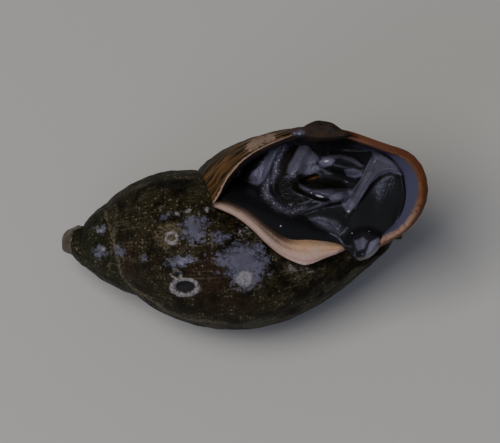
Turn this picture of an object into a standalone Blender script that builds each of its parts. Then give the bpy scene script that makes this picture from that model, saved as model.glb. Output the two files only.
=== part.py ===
"""A pond snail of the species Radix labiata, life size, lying on its back with the aperture up.

The shell is a right-handed coil. It is described in the shell's own frame, in millimetres:
a runs along the coiling axis from the apex to the base, u is the side of the outer lip and
f is the side of the aperture. An angle of growth of 0 degrees points along u, 90 along f, and
the outer lip joins the body whorl at JOIN degrees. One turn earlier is 360 degrees less.
The soft body is drawn in and fills the aperture. Its forms are placed as they are seen when
the aperture is looked at, t along the view and u across it, with f as their height.
"""

import math

import bmesh
import bpy
import numpy as np
from mathutils import Matrix, Vector

MM = 0.001
GAP = 0.3

# Pose: how far the view of the aperture lies above the floor, and how far the base tips up
VIEW_ELEVATION = 62.0
AXIS_TIP = 12.0
REST_CUT = 0.2

# The coil, by angle of growth: suture a and radius, widest a and radius, upper roundness,
# base a and lower roundness
GROWTH = (
    (-660, 1.16, 0.98, 3.30, 2.16, 0.75, 7.80, 1.10),
    (-540, 1.04, 1.24, 5.00, 2.91, 0.78, 10.0, 1.10),
    (-450, 1.50, 1.41, 5.43, 3.15, 0.85, 11.4, 1.10),
    (-360, 2.09, 1.70, 6.01, 3.40, 0.90, 12.6, 1.10),
    (-270, 2.81, 2.09, 7.00, 3.88, 0.85, 14.4, 1.15),
    (-180, 3.98, 2.77, 8.53, 4.37, 0.80, 15.6, 1.10),
    (-90, 5.29, 3.10, 9.50, 4.72, 0.85, 16.3, 0.95),
    (0, 6.69, 3.35, 10.30, 5.00, 0.85, 16.9, 0.75),
    (62, 8.10, 3.58, 11.50, 5.15, 0.80, 17.2, 0.70),
)
JOIN = 62.0
SOLID_END = -75.0
SPIRE_START = -658.0
BASE_RADIUS = 0.75
COLUMELLA = 0.45
BORE = 0.3
STEP = 10.0

# The worn apex: a turned stump, its sides, and where the first whorls begin
APEX_PROFILE = ((0.0, 0.32), (0.02, 0.41), (0.16, 0.55), (0.36, 0.67), (0.52, 0.71))
APEX_SIDES = 20
APEX_SHIFT = -0.1
SHOULDER_A = 0.60
SHOULDER_RADIUS = 0.72
TIP_TURN = 320.0

# The free edge of the outer lip as seen, with its height, from the join round to the base
LIP_EDGE = (
    (7.28, 1.65, 3.10),
    (7.66, 2.23, 3.20),
    (7.95, 2.81, 3.20),
    (8.63, 3.69, 3.10),
    (9.60, 4.37, 2.91),
    (10.91, 4.95, 2.62),
    (12.32, 5.43, 2.33),
    (13.77, 5.29, 2.04),
    (15.52, 4.70, 1.75),
    (16.83, 4.22, 1.50),
    (17.51, 3.40, 1.31),
    (17.70, 2.43, 1.21),
    (17.51, 1.50, 1.16),
    (16.88, 0.58, 1.21),
    (16.00, 0.00, 1.31),
    (15.40, -0.35, 1.46),
)
WALL = 0.5
RIM_WALL = 0.6
RIM_WIDTH = 1.0
FLARE_START = 0.35
FLARE_POWER = 2.2
LIP_ROWS = 22
LIP_COLUMNS = 15

# The turned-back columellar lip as seen: its outer and inner edges
RIBBON_OUTER = (
    (7.18, 1.60),
    (7.76, 1.36),
    (8.40, 0.97),
    (9.12, 0.39),
    (9.85, -0.29),
    (10.62, -0.82),
    (11.54, -1.16),
    (12.03, -1.16),
    (12.80, -0.85),
    (13.73, -0.53),
)
RIBBON_INNER = (
    (7.76, 1.89),
    (8.63, 1.60),
    (9.41, 1.12),
    (10.19, 0.68),
    (11.06, 0.19),
    (12.03, 0.10),
    (13.00, -0.05),
    (13.90, -0.28),
)
RIBBON_THICKNESS = 0.55

# The drawn-in body as seen: lines of its ridges, middles of its lobes, outlines of its forms
FOOT_MARGIN = (
    (11.35, 5.25),
    (10.72, 4.70),
    (10.09, 3.64),
    (9.89, 2.62),
    (10.38, 1.70),
    (11.06, 1.36),
    (12.27, 1.65),
    (13.48, 1.89),
)
COLLAR_LINE = ((10.52, 4.85), (9.99, 3.88), (9.51, 3.30), (9.02, 2.67))
TENTACLE_LINE = ((13.87, 1.50), (14.16, 2.13), (14.60, 2.81), (15.04, 3.49), (15.62, 3.88))
FOOT_MARGIN_RISE, FOOT_MARGIN_WIDTH = 0.35, 0.22
COLLAR_RISE, COLLAR_WIDTH = 0.45, 0.35
TENTACLE_RISE, TENTACLE_WIDTH = 0.75, 0.42
# Round swellings and hollows: rise, middle, half length and half width, turn in degrees
SWELLINGS = (
    (0.65, (11.20, 3.40), (1.5, 2.0), 0),
    (0.75, (13.35, 3.75), (1.4, 0.42), -8),
    (0.65, (12.55, 2.30), (1.2, 0.42), -10),
    (-0.55, (13.40, 4.65), (1.8, 0.4), -5),
    (-0.50, (15.90, 2.20), (0.9, 1.3), 0),
)
COVER = 0.25
COVER_SOFTNESS = 0.05
MOUTH = ((11.75, 2.84), (12.15, 3.02), (12.60, 3.10), (13.05, 3.04))
MOUTH_WIDTH = 0.30
MOUTH_DEPTH = 0.55
BASE_CORNER = (15.20, -0.30)
FLESH_LEVEL = 1.3
FLESH_FLOOR = 0.9
FLOOR_STEP = 0.073
FLESH_FOOT = 0.45
CUT_TOP = 6.0
HEAD_OUTLINE = (
    (12.20, 3.95),
    (13.10, 4.25),
    (14.55, 3.60),
    (14.45, 3.00),
    (13.60, 1.95),
    (12.60, 1.85),
    (11.50, 2.35),
    (11.50, 3.30),
)
TENTACLE_OUTLINE = (
    (13.82, 1.26),
    (13.62, 1.75),
    (14.40, 2.95),
    (14.90, 4.05),
    (15.70, 4.25),
    (16.55, 3.75),
    (15.60, 3.45),
    (14.85, 2.60),
    (14.25, 1.60),
)
FOOT_OUTLINE = (
    (10.90, 4.90),
    (12.10, 4.85),
    (12.90, 4.30),
    (13.50, 3.20),
    (13.20, 1.72),
    (12.10, 1.28),
    (10.80, 1.30),
    (9.95, 1.90),
    (9.75, 2.95),
    (10.15, 4.00),
)
COLLAR_OUTLINE = (
    (10.15, 4.85),
    (10.75, 5.05),
    (10.40, 4.35),
    (9.85, 3.30),
    (9.75, 2.20),
    (9.30, 1.95),
    (8.75, 2.45),
    (8.95, 3.20),
    (9.65, 4.10),
)
EDGE_OUTLINE = (
    (15.28, 2.66),
    (15.95, 3.22),
    (16.65, 3.30),
    (16.95, 2.30),
    (16.60, 1.10),
    (15.80, 0.45),
    (14.95, 0.35),
    (14.55, 1.10),
    (14.70, 2.00),
)
FLESH_OUTLINES = (
    ("head", HEAD_OUTLINE),
    ("tentacle", TENTACLE_OUTLINE),
    ("foot", FOOT_OUTLINE),
    ("mantle_collar", COLLAR_OUTLINE),
    ("mantle_edge", EDGE_OUTLINE),
)

# Two folds of the mantle that lie over the shell: one over the outer lip, one at the base
TOP_FOLD = (
    (11.55, 5.35),
    (12.32, 5.80),
    (13.10, 5.75),
    (13.75, 5.25),
    (13.40, 4.90),
    (12.70, 4.80),
    (11.90, 4.95),
)
TOP_FOLD_HEIGHT = 2.78
BASE_FOLD = (
    (14.20, 0.05),
    (14.90, 0.05),
    (15.25, -0.45),
    (15.05, -1.00),
    (14.55, -1.15),
    (14.10, -0.75),
)
BASE_FOLD_LIFT = 1.0
FOLD_THICKNESS = 0.6


def spline(points, amount):
    """The point at a share of the way along a smooth curve through the given points."""
    count = len(points)
    place = min(max(amount, 0.0), 1.0) * (count - 1)
    index = min(int(place), count - 2)
    x = place - index
    values = [Vector(points[min(max(index + k, 0), count - 1)]) for k in (-1, 0, 1, 2)]
    slope_in = (values[2] - values[0]) / 2
    slope_out = (values[3] - values[1]) / 2
    return (
        values[1] * (2 * x**3 - 3 * x**2 + 1)
        + slope_in * (x**3 - 2 * x**2 + x)
        + values[2] * (3 * x**2 - 2 * x**3)
        + slope_out * (x**3 - x**2)
    )


def grown(angle):
    """The measures of the coil at an angle of growth, read smoothly from GROWTH."""
    angles = [row[0] for row in GROWTH]
    angle = min(max(angle, angles[0]), angles[-1])
    index = min(max(np.searchsorted(angles, angle) - 1, 0), len(GROWTH) - 2)
    rows = [np.array(GROWTH[min(max(index + k, 0), len(GROWTH) - 1)], float) for k in (-1, 0, 1, 2)]
    span = rows[2][0] - rows[1][0]
    x = (angle - rows[1][0]) / span
    slope_in = (rows[2] - rows[0]) / max(rows[2][0] - rows[0][0], 1.0) * span
    slope_out = (rows[3] - rows[1]) / max(rows[3][0] - rows[1][0], 1.0) * span
    value = (
        rows[1] * (2 * x**3 - 3 * x**2 + 1)
        + slope_in * (x**3 - 2 * x**2 + x)
        + rows[2] * (3 * x**2 - 2 * x**3)
        + slope_out * (x**3 - x**2)
    )
    return value[1:]


def outer_radius(angle, a):
    """The radius of a whorl's outer face at a place along the axis."""
    suture, suture_r, wide, wide_r, upper, base, lower = grown(angle)
    if a <= wide:
        x = min(max((wide - a) / (wide - suture), 0.0), 1.0)
        return suture_r + (wide_r - suture_r) * (1 - x * x) ** upper
    x = min((a - wide) / (base - wide), 1.0)
    return BASE_RADIUS + (wide_r - BASE_RADIUS) * (1 - x * x) ** lower


def core_radius(angle, a):
    """The radius of the wall inside the aperture: the whorl one turn earlier and the columella."""
    earlier = grown(angle - 360)
    fade = min(max((earlier[5] - a) / 2.0, 0.0), 1.0)
    return max(outer_radius(angle - 360, a) * fade**0.5, COLUMELLA)


def whorl_point(angle, share):
    """A point of a whorl's outer face, from its suture at share 0 to its base at 1."""
    suture, suture_r, wide, wide_r, upper, base, lower = grown(angle)
    if share < 0.45:
        turn = share / 0.45 * math.pi / 2
        a = wide - (wide - suture) * math.cos(turn)
        return a, suture_r + (wide_r - suture_r) * math.sin(turn) ** (2 * upper)
    turn = (share - 0.45) / 0.55 * math.pi / 2
    a = wide + (base - wide) * math.sin(turn)
    return a, BASE_RADIUS + (wide_r - BASE_RADIUS) * max(math.cos(turn), 0.0) ** (2 * lower)


def polar(a, radius, angle):
    turn = math.radians(angle)
    return Vector((a, radius * math.cos(turn), radius * math.sin(turn)))


def seen(t, u, f):
    """The point at height f that is seen at t along the view and u across it."""
    tip = math.radians(AXIS_TIP)
    return Vector(((t + f * math.sin(tip)) / math.cos(tip), u, f))


def front_height(t, u):
    """The height of the coil's front face where it is seen at t, u."""
    f = 3.0
    for _ in range(14):
        point = seen(t, u, f)
        angle = math.degrees(math.atan2(f, u))
        radius = outer_radius(angle - 360, point.x)
        f = 0.5 * f + 0.5 * math.sqrt(max(radius**2 - u**2, 0.01))
    return f


def back_height(t, u):
    """The height of the middle of the coil's back wall behind what is seen at t, u."""
    f = -3.0
    for _ in range(14):
        point = seen(t, u, f)
        angle = math.degrees(math.atan2(f, u))
        radius = outer_radius(angle, point.x) - WALL / 2
        f = 0.5 * f - 0.5 * math.sqrt(max(radius**2 - u**2, 0.0))
    return f


def collection(name):
    group = bpy.data.collections.new(name)
    bpy.context.scene.collection.children.link(group)
    return group


def material(name, colour, roughness):
    surface = bpy.data.materials.new(name)
    surface.use_nodes = True
    shader = surface.node_tree.nodes["Principled BSDF"]
    shader.inputs["Base Color"].default_value = (*colour, 1.0)
    shader.inputs["Roughness"].default_value = roughness
    shader.inputs["Metallic"].default_value = 0.0
    return surface


def closed_mesh(name, points, faces):
    """A mesh object from points and faces, with its faces turned outwards."""
    mesh = bpy.data.meshes.new(name)
    mesh.from_pydata([tuple(point) for point in points], [], faces)
    work = bmesh.new()
    work.from_mesh(mesh)
    bmesh.ops.remove_doubles(work, verts=work.verts, dist=0.002)
    bmesh.ops.triangulate(work, faces=work.faces)
    bmesh.ops.recalc_face_normals(work, faces=work.faces)
    if work.calc_volume(signed=True) < 0:
        bmesh.ops.reverse_faces(work, faces=work.faces)
    work.to_mesh(mesh)
    work.free()
    return bpy.data.objects.new(name, mesh)


def loft(name, rings):
    """A closed body through rings of points, capped at both ends."""
    size = len(rings[0])
    points = [point for ring in rings for point in ring]
    faces = [list(range(size))[::-1], [len(points) - size + k for k in range(size)]]
    for row in range(len(rings) - 1):
        for k in range(size):
            low = row * size + k
            side = row * size + (k + 1) % size
            faces.append([low, side, side + size, low + size])
    return closed_mesh(name, points, faces)


def slab(name, front, back):
    """A closed body between two grids of points of the same size."""
    rows, columns = len(front), len(front[0])
    points = [p for row in front for p in row] + [p for row in back for p in row]
    other = rows * columns
    faces = []
    for i in range(rows - 1):
        for j in range(columns - 1):
            corner = i * columns + j
            faces.append([corner, corner + 1, corner + columns + 1, corner + columns])
            faces.append([other + k for k in reversed(faces[-1])])
    edge = [j for j in range(columns)]
    edge += [i * columns + columns - 1 for i in range(1, rows)]
    edge += [(rows - 1) * columns + j for j in range(columns - 2, -1, -1)]
    edge += [i * columns for i in range(rows - 2, 0, -1)]
    for k, start in enumerate(edge):
        end = edge[(k + 1) % len(edge)]
        faces.append([start, other + start, other + end, end])
    return closed_mesh(name, points, faces)


def boolean(body, tool, operation):
    """The body cut or met by a tool, which is then removed."""
    scratch = bpy.context.scene.collection
    for item in (body, tool):
        scratch.objects.link(item)
    modifier = body.modifiers.new("Boolean", "BOOLEAN")
    modifier.operation = operation
    modifier.solver = "MANIFOLD"
    modifier.object = tool
    graph = bpy.context.evaluated_depsgraph_get()
    mesh = bpy.data.meshes.new_from_object(body.evaluated_get(graph))
    result = bpy.data.objects.new(body.name, mesh)
    bpy.data.objects.remove(body)
    bpy.data.objects.remove(tool)
    return result


def largest_body(item):
    """Keeps only the largest closed surface of an object's mesh."""
    work = bmesh.new()
    work.from_mesh(item.data)
    bmesh.ops.remove_doubles(work, verts=work.verts, dist=0.0005)
    bmesh.ops.dissolve_degenerate(work, edges=work.edges, dist=0.0005)
    bmesh.ops.triangulate(work, faces=work.faces)
    left = set(work.faces)
    bodies = []
    while left:
        stack = [left.pop()]
        body = set(stack)
        while stack:
            for edge in stack.pop().edges:
                for face in edge.link_faces:
                    if face in left:
                        left.discard(face)
                        body.add(face)
                        stack.append(face)
        bodies.append(body)
    bodies.sort(key=lambda body: sum(face.calc_area() for face in body))
    loose = [face for body in bodies[:-1] for face in body]
    bmesh.ops.delete(work, geom=loose, context="FACES")
    spare = [vert for vert in work.verts if not vert.link_faces]
    bmesh.ops.delete(work, geom=spare, context="VERTS")
    work.to_mesh(item.data)
    work.free()
    return item


def whorl_rings(section, start, end, grow=0.0):
    """Rings of half-plane sections from one angle to another, clear of the two end planes."""
    count = max(int((end - start) / STEP), 2)
    rings = []
    for row in range(count + 1):
        share = row / count
        angle = start + (end - start) * share
        ring = []
        for k, (_, radius) in enumerate(section(angle)):
            inset = GAP / 2 - 1.3 * grow
            clear = math.degrees(math.asin(max(min(inset / max(radius, BORE), 0.9), -0.9)))
            turned = angle + clear * (1 - 2 * share)
            ring.append(polar(*section(turned)[k], turned))
        rings.append(ring)
    return rings


def tip_section(angle):
    """The first whorls, from the knob down to the suture of the next whorl."""
    low, low_r = grown(angle + 360)[:2]
    top, top_r = SHOULDER_A, SHOULDER_RADIUS
    low -= GAP / 2
    section = [(top, BORE), (top, top_r)]
    for k in range(1, 6):
        share = k / 5
        section.append((top + (low - top) * share, top_r + (low_r - top_r) * share))
    return section + [(low, BORE)]


def spire_section(angle):
    """The whorl above the body whorl, between its own suture and the next."""
    top = grown(angle)[0] + GAP / 2
    low = grown(angle + 360)[0] - GAP / 2
    section = [(top, BORE)]
    for k in range(11):
        a = top + (low - top) * (k / 10) ** 1.2
        section.append((a, outer_radius(angle, a)))
    return section + [(low, BORE)]


def body_section(angle, grow=0.0):
    """The body whorl, solid from its suture to its base."""
    measures = grown(angle)
    top = measures[0] + GAP / 2 - grow
    wide, base = measures[2], measures[5] + grow
    section = [(top, BORE)]
    for k in range(9):
        a = top + (wide - top) * (k / 9) ** 1.3
        section.append((a, outer_radius(angle, a) + grow))
    for k in range(12):
        share = 0.45 + 0.55 * k / 11
        a, radius = whorl_point(angle, share)
        section.append((a + grow * k / 11, radius + grow))
    return section + [(base, BORE)]


def core_section(angle, grow=0.0):
    """The wall inside the aperture, from the suture down the columella to the base."""
    measures = grown(angle)
    top = measures[0] + GAP / 2 - grow
    base = measures[5] - 0.1 + grow
    section = [(top, BORE)]
    for k in range(19):
        a = top + (base - top) * k / 18
        radius = core_radius(angle, a) + grow
        if grow and radius < COLUMELLA + 0.5:
            radius += 0.12
        section.append((a, radius))
    return section + [(base, BORE)]


def lip_sheet():
    """The outer face of the last whorl, from the solid part of the coil to the free lip."""
    rows, columns = LIP_ROWS, LIP_COLUMNS
    sheet = []
    for i in range(rows + 1):
        share = i / rows
        t, u, f = spline(LIP_EDGE, share)
        edge = seen(t, u, f)
        edge_angle = math.degrees(math.atan2(edge.z, edge.y))
        edge_radius = math.hypot(edge.y, edge.z)
        a, radius = whorl_point(edge_angle, share)
        reach = (edge.x - a, edge_radius - radius)
        strip = []
        for j in range(columns + 1):
            along = j / columns
            angle = SOLID_END + (edge_angle - SOLID_END) * along
            flare = max((along - FLARE_START) / (1 - FLARE_START), 0.0) ** FLARE_POWER
            a, radius = whorl_point(angle, share)
            a += reach[0] * flare
            radius += reach[1] * flare
            if j == 0:
                angle += math.degrees(math.asin(min(GAP / 2 / radius, 0.5)))
            strip.append(polar(a, radius, angle))
        sheet.append(strip)
    return sheet


def sheet_normals(sheet):
    """Outward normals of a grid of points on a whorl."""
    rows, columns = len(sheet), len(sheet[0])
    normals = []
    for i in range(rows):
        strip = []
        for j in range(columns):
            across = sheet[min(i + 1, rows - 1)][j] - sheet[max(i - 1, 0)][j]
            along = sheet[i][min(j + 1, columns - 1)] - sheet[i][max(j - 1, 0)]
            strip.append(along.cross(across).normalized())
        normals.append(strip)
    return normals


def lifted(point, clearance):
    """The point moved out from the axis, if need be, to clear the wall inside the aperture."""
    radius = math.hypot(point.y, point.z)
    angle = math.degrees(math.atan2(point.z, point.y))
    if angle < SOLID_END - 60:
        angle += 360
    least = core_radius(angle, point.x)
    if angle > JOIN:
        least = outer_radius(angle - 360, point.x)
    least = max(least, COLUMELLA) + clearance
    if radius >= least:
        return point
    return Vector((point.x, point.y * least / radius, point.z * least / radius))


def wall_grids(grow=0.0):
    """The outer and inner faces of the thin wall, strip by strip from suture to base."""
    sheet = lip_sheet()
    normals = sheet_normals(sheet)
    outer, inner = [], []
    for strip, strip_normals in zip(sheet, normals):
        last = len(strip) - 1
        front, back = [], []
        for j, (point, normal) in enumerate(zip(strip, strip_normals)):
            wall = WALL + (RIM_WALL - WALL) * (j / last) ** 6
            front.append(lifted(point + normal * grow, GAP + 0.14 - grow))
            back.append(lifted(point - normal * (wall + grow), GAP - grow))
        outer.append(front)
        inner.append(back)
    return outer, inner


def along_strip(strip, distances, start, end, count):
    """Points along a strip between two distances from its last point."""
    total = distances[0]
    start = total if start is None else min(start, total)
    points = []
    for k in range(count):
        want = start + (end - start) * k / (count - 1)
        j = 0
        while j < len(distances) - 2 and distances[j + 1] > want:
            j += 1
        span = max(distances[j] - distances[j + 1], 1e-6)
        share = min(max((distances[j] - want) / span, 0.0), 1.0)
        points.append(strip[j].lerp(strip[j + 1], share))
    return points


def part_strips(outer, inner, start, end, count):
    """The same stretch of both faces of the wall, measured back from the free edge."""
    fronts, backs = [], []
    for front, back in zip(outer, inner):
        distances = [0.0]
        for j in range(len(front) - 1, 0, -1):
            distances.append(distances[-1] + (front[j] - front[j - 1]).length)
        distances.reverse()
        fronts.append(along_strip(front, distances, start, end, count))
        backs.append(along_strip(back, distances, start, end, count))
    return fronts, backs


def shell_parts():
    """Every piece of the shell, in the shell's own frame."""
    shift = Vector((0, APEX_SHIFT, 0))
    turns = [360.0 * side / APEX_SIDES for side in range(APEX_SIDES)]
    rings = []
    for a, radius in APEX_PROFILE:
        rings.append([polar(a, radius, turn) + shift for turn in turns])
    parts = [("shell_apex", loft("shell_apex", rings))]
    tip = whorl_rings(tip_section, SPIRE_START - TIP_TURN, SPIRE_START)
    parts.append(("shell_first_whorls", loft("shell_first_whorls", tip)))
    spire = whorl_rings(spire_section, SPIRE_START, JOIN - 360)
    parts.append(("shell_spire_whorl", loft("shell_spire_whorl", spire)))
    body = whorl_rings(body_section, JOIN - 360, SOLID_END)
    parts.append(("shell_body_whorl", loft("shell_body_whorl", body)))
    core = whorl_rings(core_section, SOLID_END, JOIN)
    parts.append(("shell_columella", loft("shell_columella", core)))
    outer, inner = wall_grids()
    wall = part_strips(outer, inner, None, RIM_WIDTH + GAP, 15)
    parts.append(("shell_last_whorl", slab("shell_last_whorl", *wall)))
    rim = part_strips(outer, inner, RIM_WIDTH, 0.0, 4)
    parts.append(("shell_outer_lip", slab("shell_outer_lip", *rim)))
    return parts


def columellar_lip(grow=0.0):
    """The turned-back lip that lies along the columella, over the front of the body whorl."""
    rows, columns = 20, 5
    top, under = [], []
    for i in range(rows + 1):
        share = i / rows
        outer = spline(RIBBON_OUTER, share)
        inner = spline(RIBBON_INNER, share)
        across = (inner - outer).normalized()
        crest, foot = [], []
        for j in range(columns + 1):
            side = j / columns
            place = outer.lerp(inner, side) + across * grow * (2 * side - 1)
            height = front_height(place.x, place.y) + GAP
            rise = RIBBON_THICKNESS * (0.35 + 0.65 * math.sin(math.pi * min(0.15 + side * 0.7, 1)))
            crest.append(seen(place.x, place.y, height + rise + grow))
            foot.append(seen(place.x, place.y, height - grow * 1.5))
        top.append(crest)
        under.append(foot)
    return slab("shell_columellar_lip", top, under)


def bump(t, u, centre, size, turn):
    """A soft round swelling, 1 at its centre, of a size along and across a turned axis."""
    angle = math.radians(turn)
    x = (t - centre[0]) * math.cos(angle) + (u - centre[1]) * math.sin(angle)
    y = (u - centre[1]) * math.cos(angle) - (t - centre[0]) * math.sin(angle)
    return math.exp(-((x / size[0]) ** 2) - (y / size[1]) ** 2)


def ridge(t, u, line, width):
    """A soft ridge along a line of points, 1 on the line."""
    nearest = 1e9
    place = Vector((t, u))
    for start, end in zip(line, line[1:]):
        start, end = Vector(start), Vector(end)
        step = end - start
        share = min(max((place - start).dot(step) / step.length_squared, 0.0), 1.0)
        nearest = min(nearest, (place - start - step * share).length)
    return math.exp(-((nearest / width) ** 2))


def flesh_height(t, u):
    """The height of the drawn-in body where it is seen at t, u."""
    height = FLESH_LEVEL
    height += FOOT_MARGIN_RISE * ridge(t, u, FOOT_MARGIN, FOOT_MARGIN_WIDTH)
    height += COLLAR_RISE * ridge(t, u, COLLAR_LINE, COLLAR_WIDTH)
    height += TENTACLE_RISE * ridge(t, u, TENTACLE_LINE, TENTACLE_WIDTH)
    for rise, middle, size, turn in SWELLINGS:
        height += rise * bump(t, u, middle, size, turn)
    cover = front_height(t, u) + GAP + COVER
    lift = height - cover
    return cover + 0.5 * (lift + math.sqrt(lift**2 + COVER_SOFTNESS))


def flesh_block():
    """The whole soft body as one block, reaching into the walls that are then cut from it."""
    rows, columns = 28, 12
    top, under = [], []
    for i in range(rows + 1):
        share = i / rows
        low = spline(RIBBON_OUTER, share).lerp(spline(RIBBON_INNER, share), 0.6)
        low = low.lerp(Vector(BASE_CORNER), max(share - 0.85, 0.0) / 0.15)
        edge = spline(LIP_EDGE, share)
        high = Vector((edge.x, edge.y))
        crest, foot = [], []
        for j in range(columns + 1):
            place = low.lerp(high, 0.02 + 0.95 * j / columns)
            crest.append(seen(place.x, place.y, flesh_height(place.x, place.y)))
            sunk = min(max((place.y - 0.9) / 1.1, 0.0), 1.0)
            deep = back_height(place.x, place.y)
            foot.append(seen(place.x, place.y, FLESH_FOOT + (deep - FLESH_FOOT) * sunk))
        top.append(crest)
        under.append(foot)
    block = slab("mantle", top, under)
    outer, inner = wall_grids(GAP)
    block = boolean(block, slab("cut", outer, inner), "DIFFERENCE")
    body = whorl_rings(lambda angle: body_section(angle, GAP), JOIN - 360, SOLID_END, GAP)
    block = boolean(block, loft("cut", body), "DIFFERENCE")
    core = whorl_rings(lambda angle: core_section(angle, GAP), SOLID_END - 3, JOIN + 3, GAP)
    block = boolean(block, loft("cut", core), "DIFFERENCE")
    block = boolean(block, columellar_lip(GAP), "DIFFERENCE")
    return largest_body(block)


def smooth_loop(outline):
    """A closed outline with two more points set smoothly between each pair."""
    closed = [outline[-1], *outline, outline[0], outline[1]]
    loop = []
    for k in range(len(outline)):
        for x in (0.0, 0.34, 0.67):
            loop.append(spline(closed[k : k + 4], (1 + x) / 3))
    return loop


def outline_prism(outline, low, high, grow=0.0):
    """A straight-sided block on a smooth closed outline as seen, between two heights."""
    loop = smooth_loop(outline)
    wide = []
    for k, point in enumerate(loop):
        step = loop[(k + 1) % len(loop)] - loop[k - 1]
        wide.append(point + Vector((-step.y, step.x)).normalized() * grow)
    rings = [[seen(p.x, p.y, low - grow) for p in wide], [seen(p.x, p.y, high) for p in wide]]
    return loft("cut", rings)


def mouth_slot():
    """The block that cuts the slit of the mouth into the head, along its curved line."""
    rings = []
    for k in range(9):
        share = k / 8
        place = spline(MOUTH, share)
        way = spline(MOUTH, min(share + 0.05, 1.0)) - spline(MOUTH, max(share - 0.05, 0.0))
        side = Vector((-way.y, way.x)).normalized() * MOUTH_WIDTH / 2
        depth = MOUTH_DEPTH * (0.5 + 0.5 * math.sin(math.pi * share))
        low = flesh_height(place.x, place.y) - depth
        near, far = place - side, place + side
        corners = ((near, low), (far, low), (far, CUT_TOP), (near, CUT_TOP))
        rings.append([seen(p.x, p.y, height) for p, height in corners])
    return loft("cut", rings)


def flesh_parts():
    """The mantle and the forms parted from its face by thin cuts."""
    block = flesh_block()
    parts = []
    for k, (name, outline) in enumerate(FLESH_OUTLINES):
        copy = block.copy()
        copy.data = block.data.copy()
        floor = FLESH_FLOOR - FLOOR_STEP * k
        piece = boolean(copy, outline_prism(outline, floor, CUT_TOP), "INTERSECT")
        if name == "head":
            piece = boolean(piece, mouth_slot(), "DIFFERENCE")
        parts.append((name, largest_body(piece)))
        block = boolean(block, outline_prism(outline, floor, CUT_TOP, GAP), "DIFFERENCE")
    parts.append(("mantle", largest_body(block)))
    return parts


def dome(name, outline, base, thickness):
    """A soft flat fold: a smooth closed outline that rises from a base height to a rounded top."""
    loop = smooth_loop(outline)
    middle = sum(loop, Vector((0, 0))) / len(loop)
    rings = []
    for size, rise in ((0.5, 0.0), (0.9, 0.0), (1.0, 0.3), (0.86, 0.75), (0.5, 1.0)):
        ring = []
        for point in loop:
            place = middle.lerp(point, size)
            ring.append(seen(place.x, place.y, base(point.x, point.y) + rise * thickness))
        rings.append(ring)
    return loft(name, rings)


def fold_parts():
    top = dome("mantle_fold_top", TOP_FOLD, lambda t, u: TOP_FOLD_HEIGHT, FOLD_THICKNESS)
    low = dome(
        "mantle_fold_base",
        BASE_FOLD,
        lambda t, u: front_height(t, u) + BASE_FOLD_LIFT,
        FOLD_THICKNESS,
    )
    return [("mantle_fold_top", top), ("mantle_fold_base", low)]


COLOURS = {
    "shell": ((0.085, 0.065, 0.035), 0.45),
    "shell_outer_lip": ((0.42, 0.16, 0.06), 0.4),
    "shell_columellar_lip": ((0.62, 0.42, 0.3), 0.4),
    "flesh": ((0.012, 0.013, 0.015), 0.15),
}


def shell_frame():
    """The turn from the shell's own frame to the row's: apex to base along +X, up along +Z."""
    lift = math.radians(VIEW_ELEVATION)
    tip = math.radians(AXIS_TIP)
    right = Vector((1, 0, 0))
    toward = Vector((0, -math.cos(lift), math.sin(lift)))
    up = Vector((0, math.sin(lift), math.cos(lift)))
    axis = right * math.cos(tip) + toward * math.sin(tip)
    front = toward * math.cos(tip) - right * math.sin(tip)
    turn = Matrix((axis, up, front)).transposed()
    return turn.to_4x4() @ Matrix.Scale(MM, 4)


def set_down(parts):
    """Turns the parts into the row's frame and sets them on the floor over the origin."""
    turn = shell_frame()
    points = []
    for _, item in parts:
        item.data.transform(turn)
        points += [vert.co.copy() for vert in item.data.vertices]
    low = Vector([min(point[k] for point in points) for k in range(3)])
    high = Vector([max(point[k] for point in points) for k in range(3)])
    middle = (low + high) / 2
    shift = Matrix.Translation((-middle.x, -middle.y, -low.z - REST_CUT * MM))
    for _, item in parts:
        item.data.transform(shift)


def rest_cutter(group):
    """The block under the floor that cuts the small flat on which the shell rests."""
    size = 0.03
    bpy.ops.mesh.primitive_cube_add(size=size, location=(0, 0, -size / 2))
    cutter = bpy.context.object
    cutter.name = "rest_cutter"
    cutter.hide_render = True
    cutter.display_type = "WIRE"
    for home in list(cutter.users_collection):
        home.objects.unlink(cutter)
    group.objects.link(cutter)
    return cutter


def main():
    for item in list(bpy.data.objects):
        bpy.data.objects.remove(item)
    group = collection("pond_snail")
    cutters = collection("cutters")
    parts = shell_parts()
    parts.append(("shell_columellar_lip", columellar_lip()))
    parts += flesh_parts()
    parts += fold_parts()
    set_down(parts)
    surfaces = {name: material(name, *look) for name, look in COLOURS.items()}
    cutter = rest_cutter(cutters)
    for name, item in parts:
        item.name = name
        kind = "shell" if name.startswith("shell") else "flesh"
        item.data.materials.clear()
        item.data.materials.append(surfaces.get(name, surfaces[kind]))
        item.data.shade_smooth()
        item.data.set_sharp_from_angle(angle=math.radians(40))
        group.objects.link(item)
        if name == "shell_body_whorl":
            flat = item.modifiers.new("rest flat", "BOOLEAN")
            flat.operation = "DIFFERENCE"
            flat.object = cutter


main()
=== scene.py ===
"""The looks of a pond snail, Radix labiata, lying on its back: a worn, crusted brown shell with a
bright turned-out lip, and the wet black body drawn into its mouth.

Shapes are given in the shell's own frame, in millimetres: a along the coiling axis from the apex,
u towards the outer lip, f towards the viewer of the aperture. Angles of growth are in degrees.
"""

import math

import bmesh
import bpy
import numpy as np
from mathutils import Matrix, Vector, noise


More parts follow.
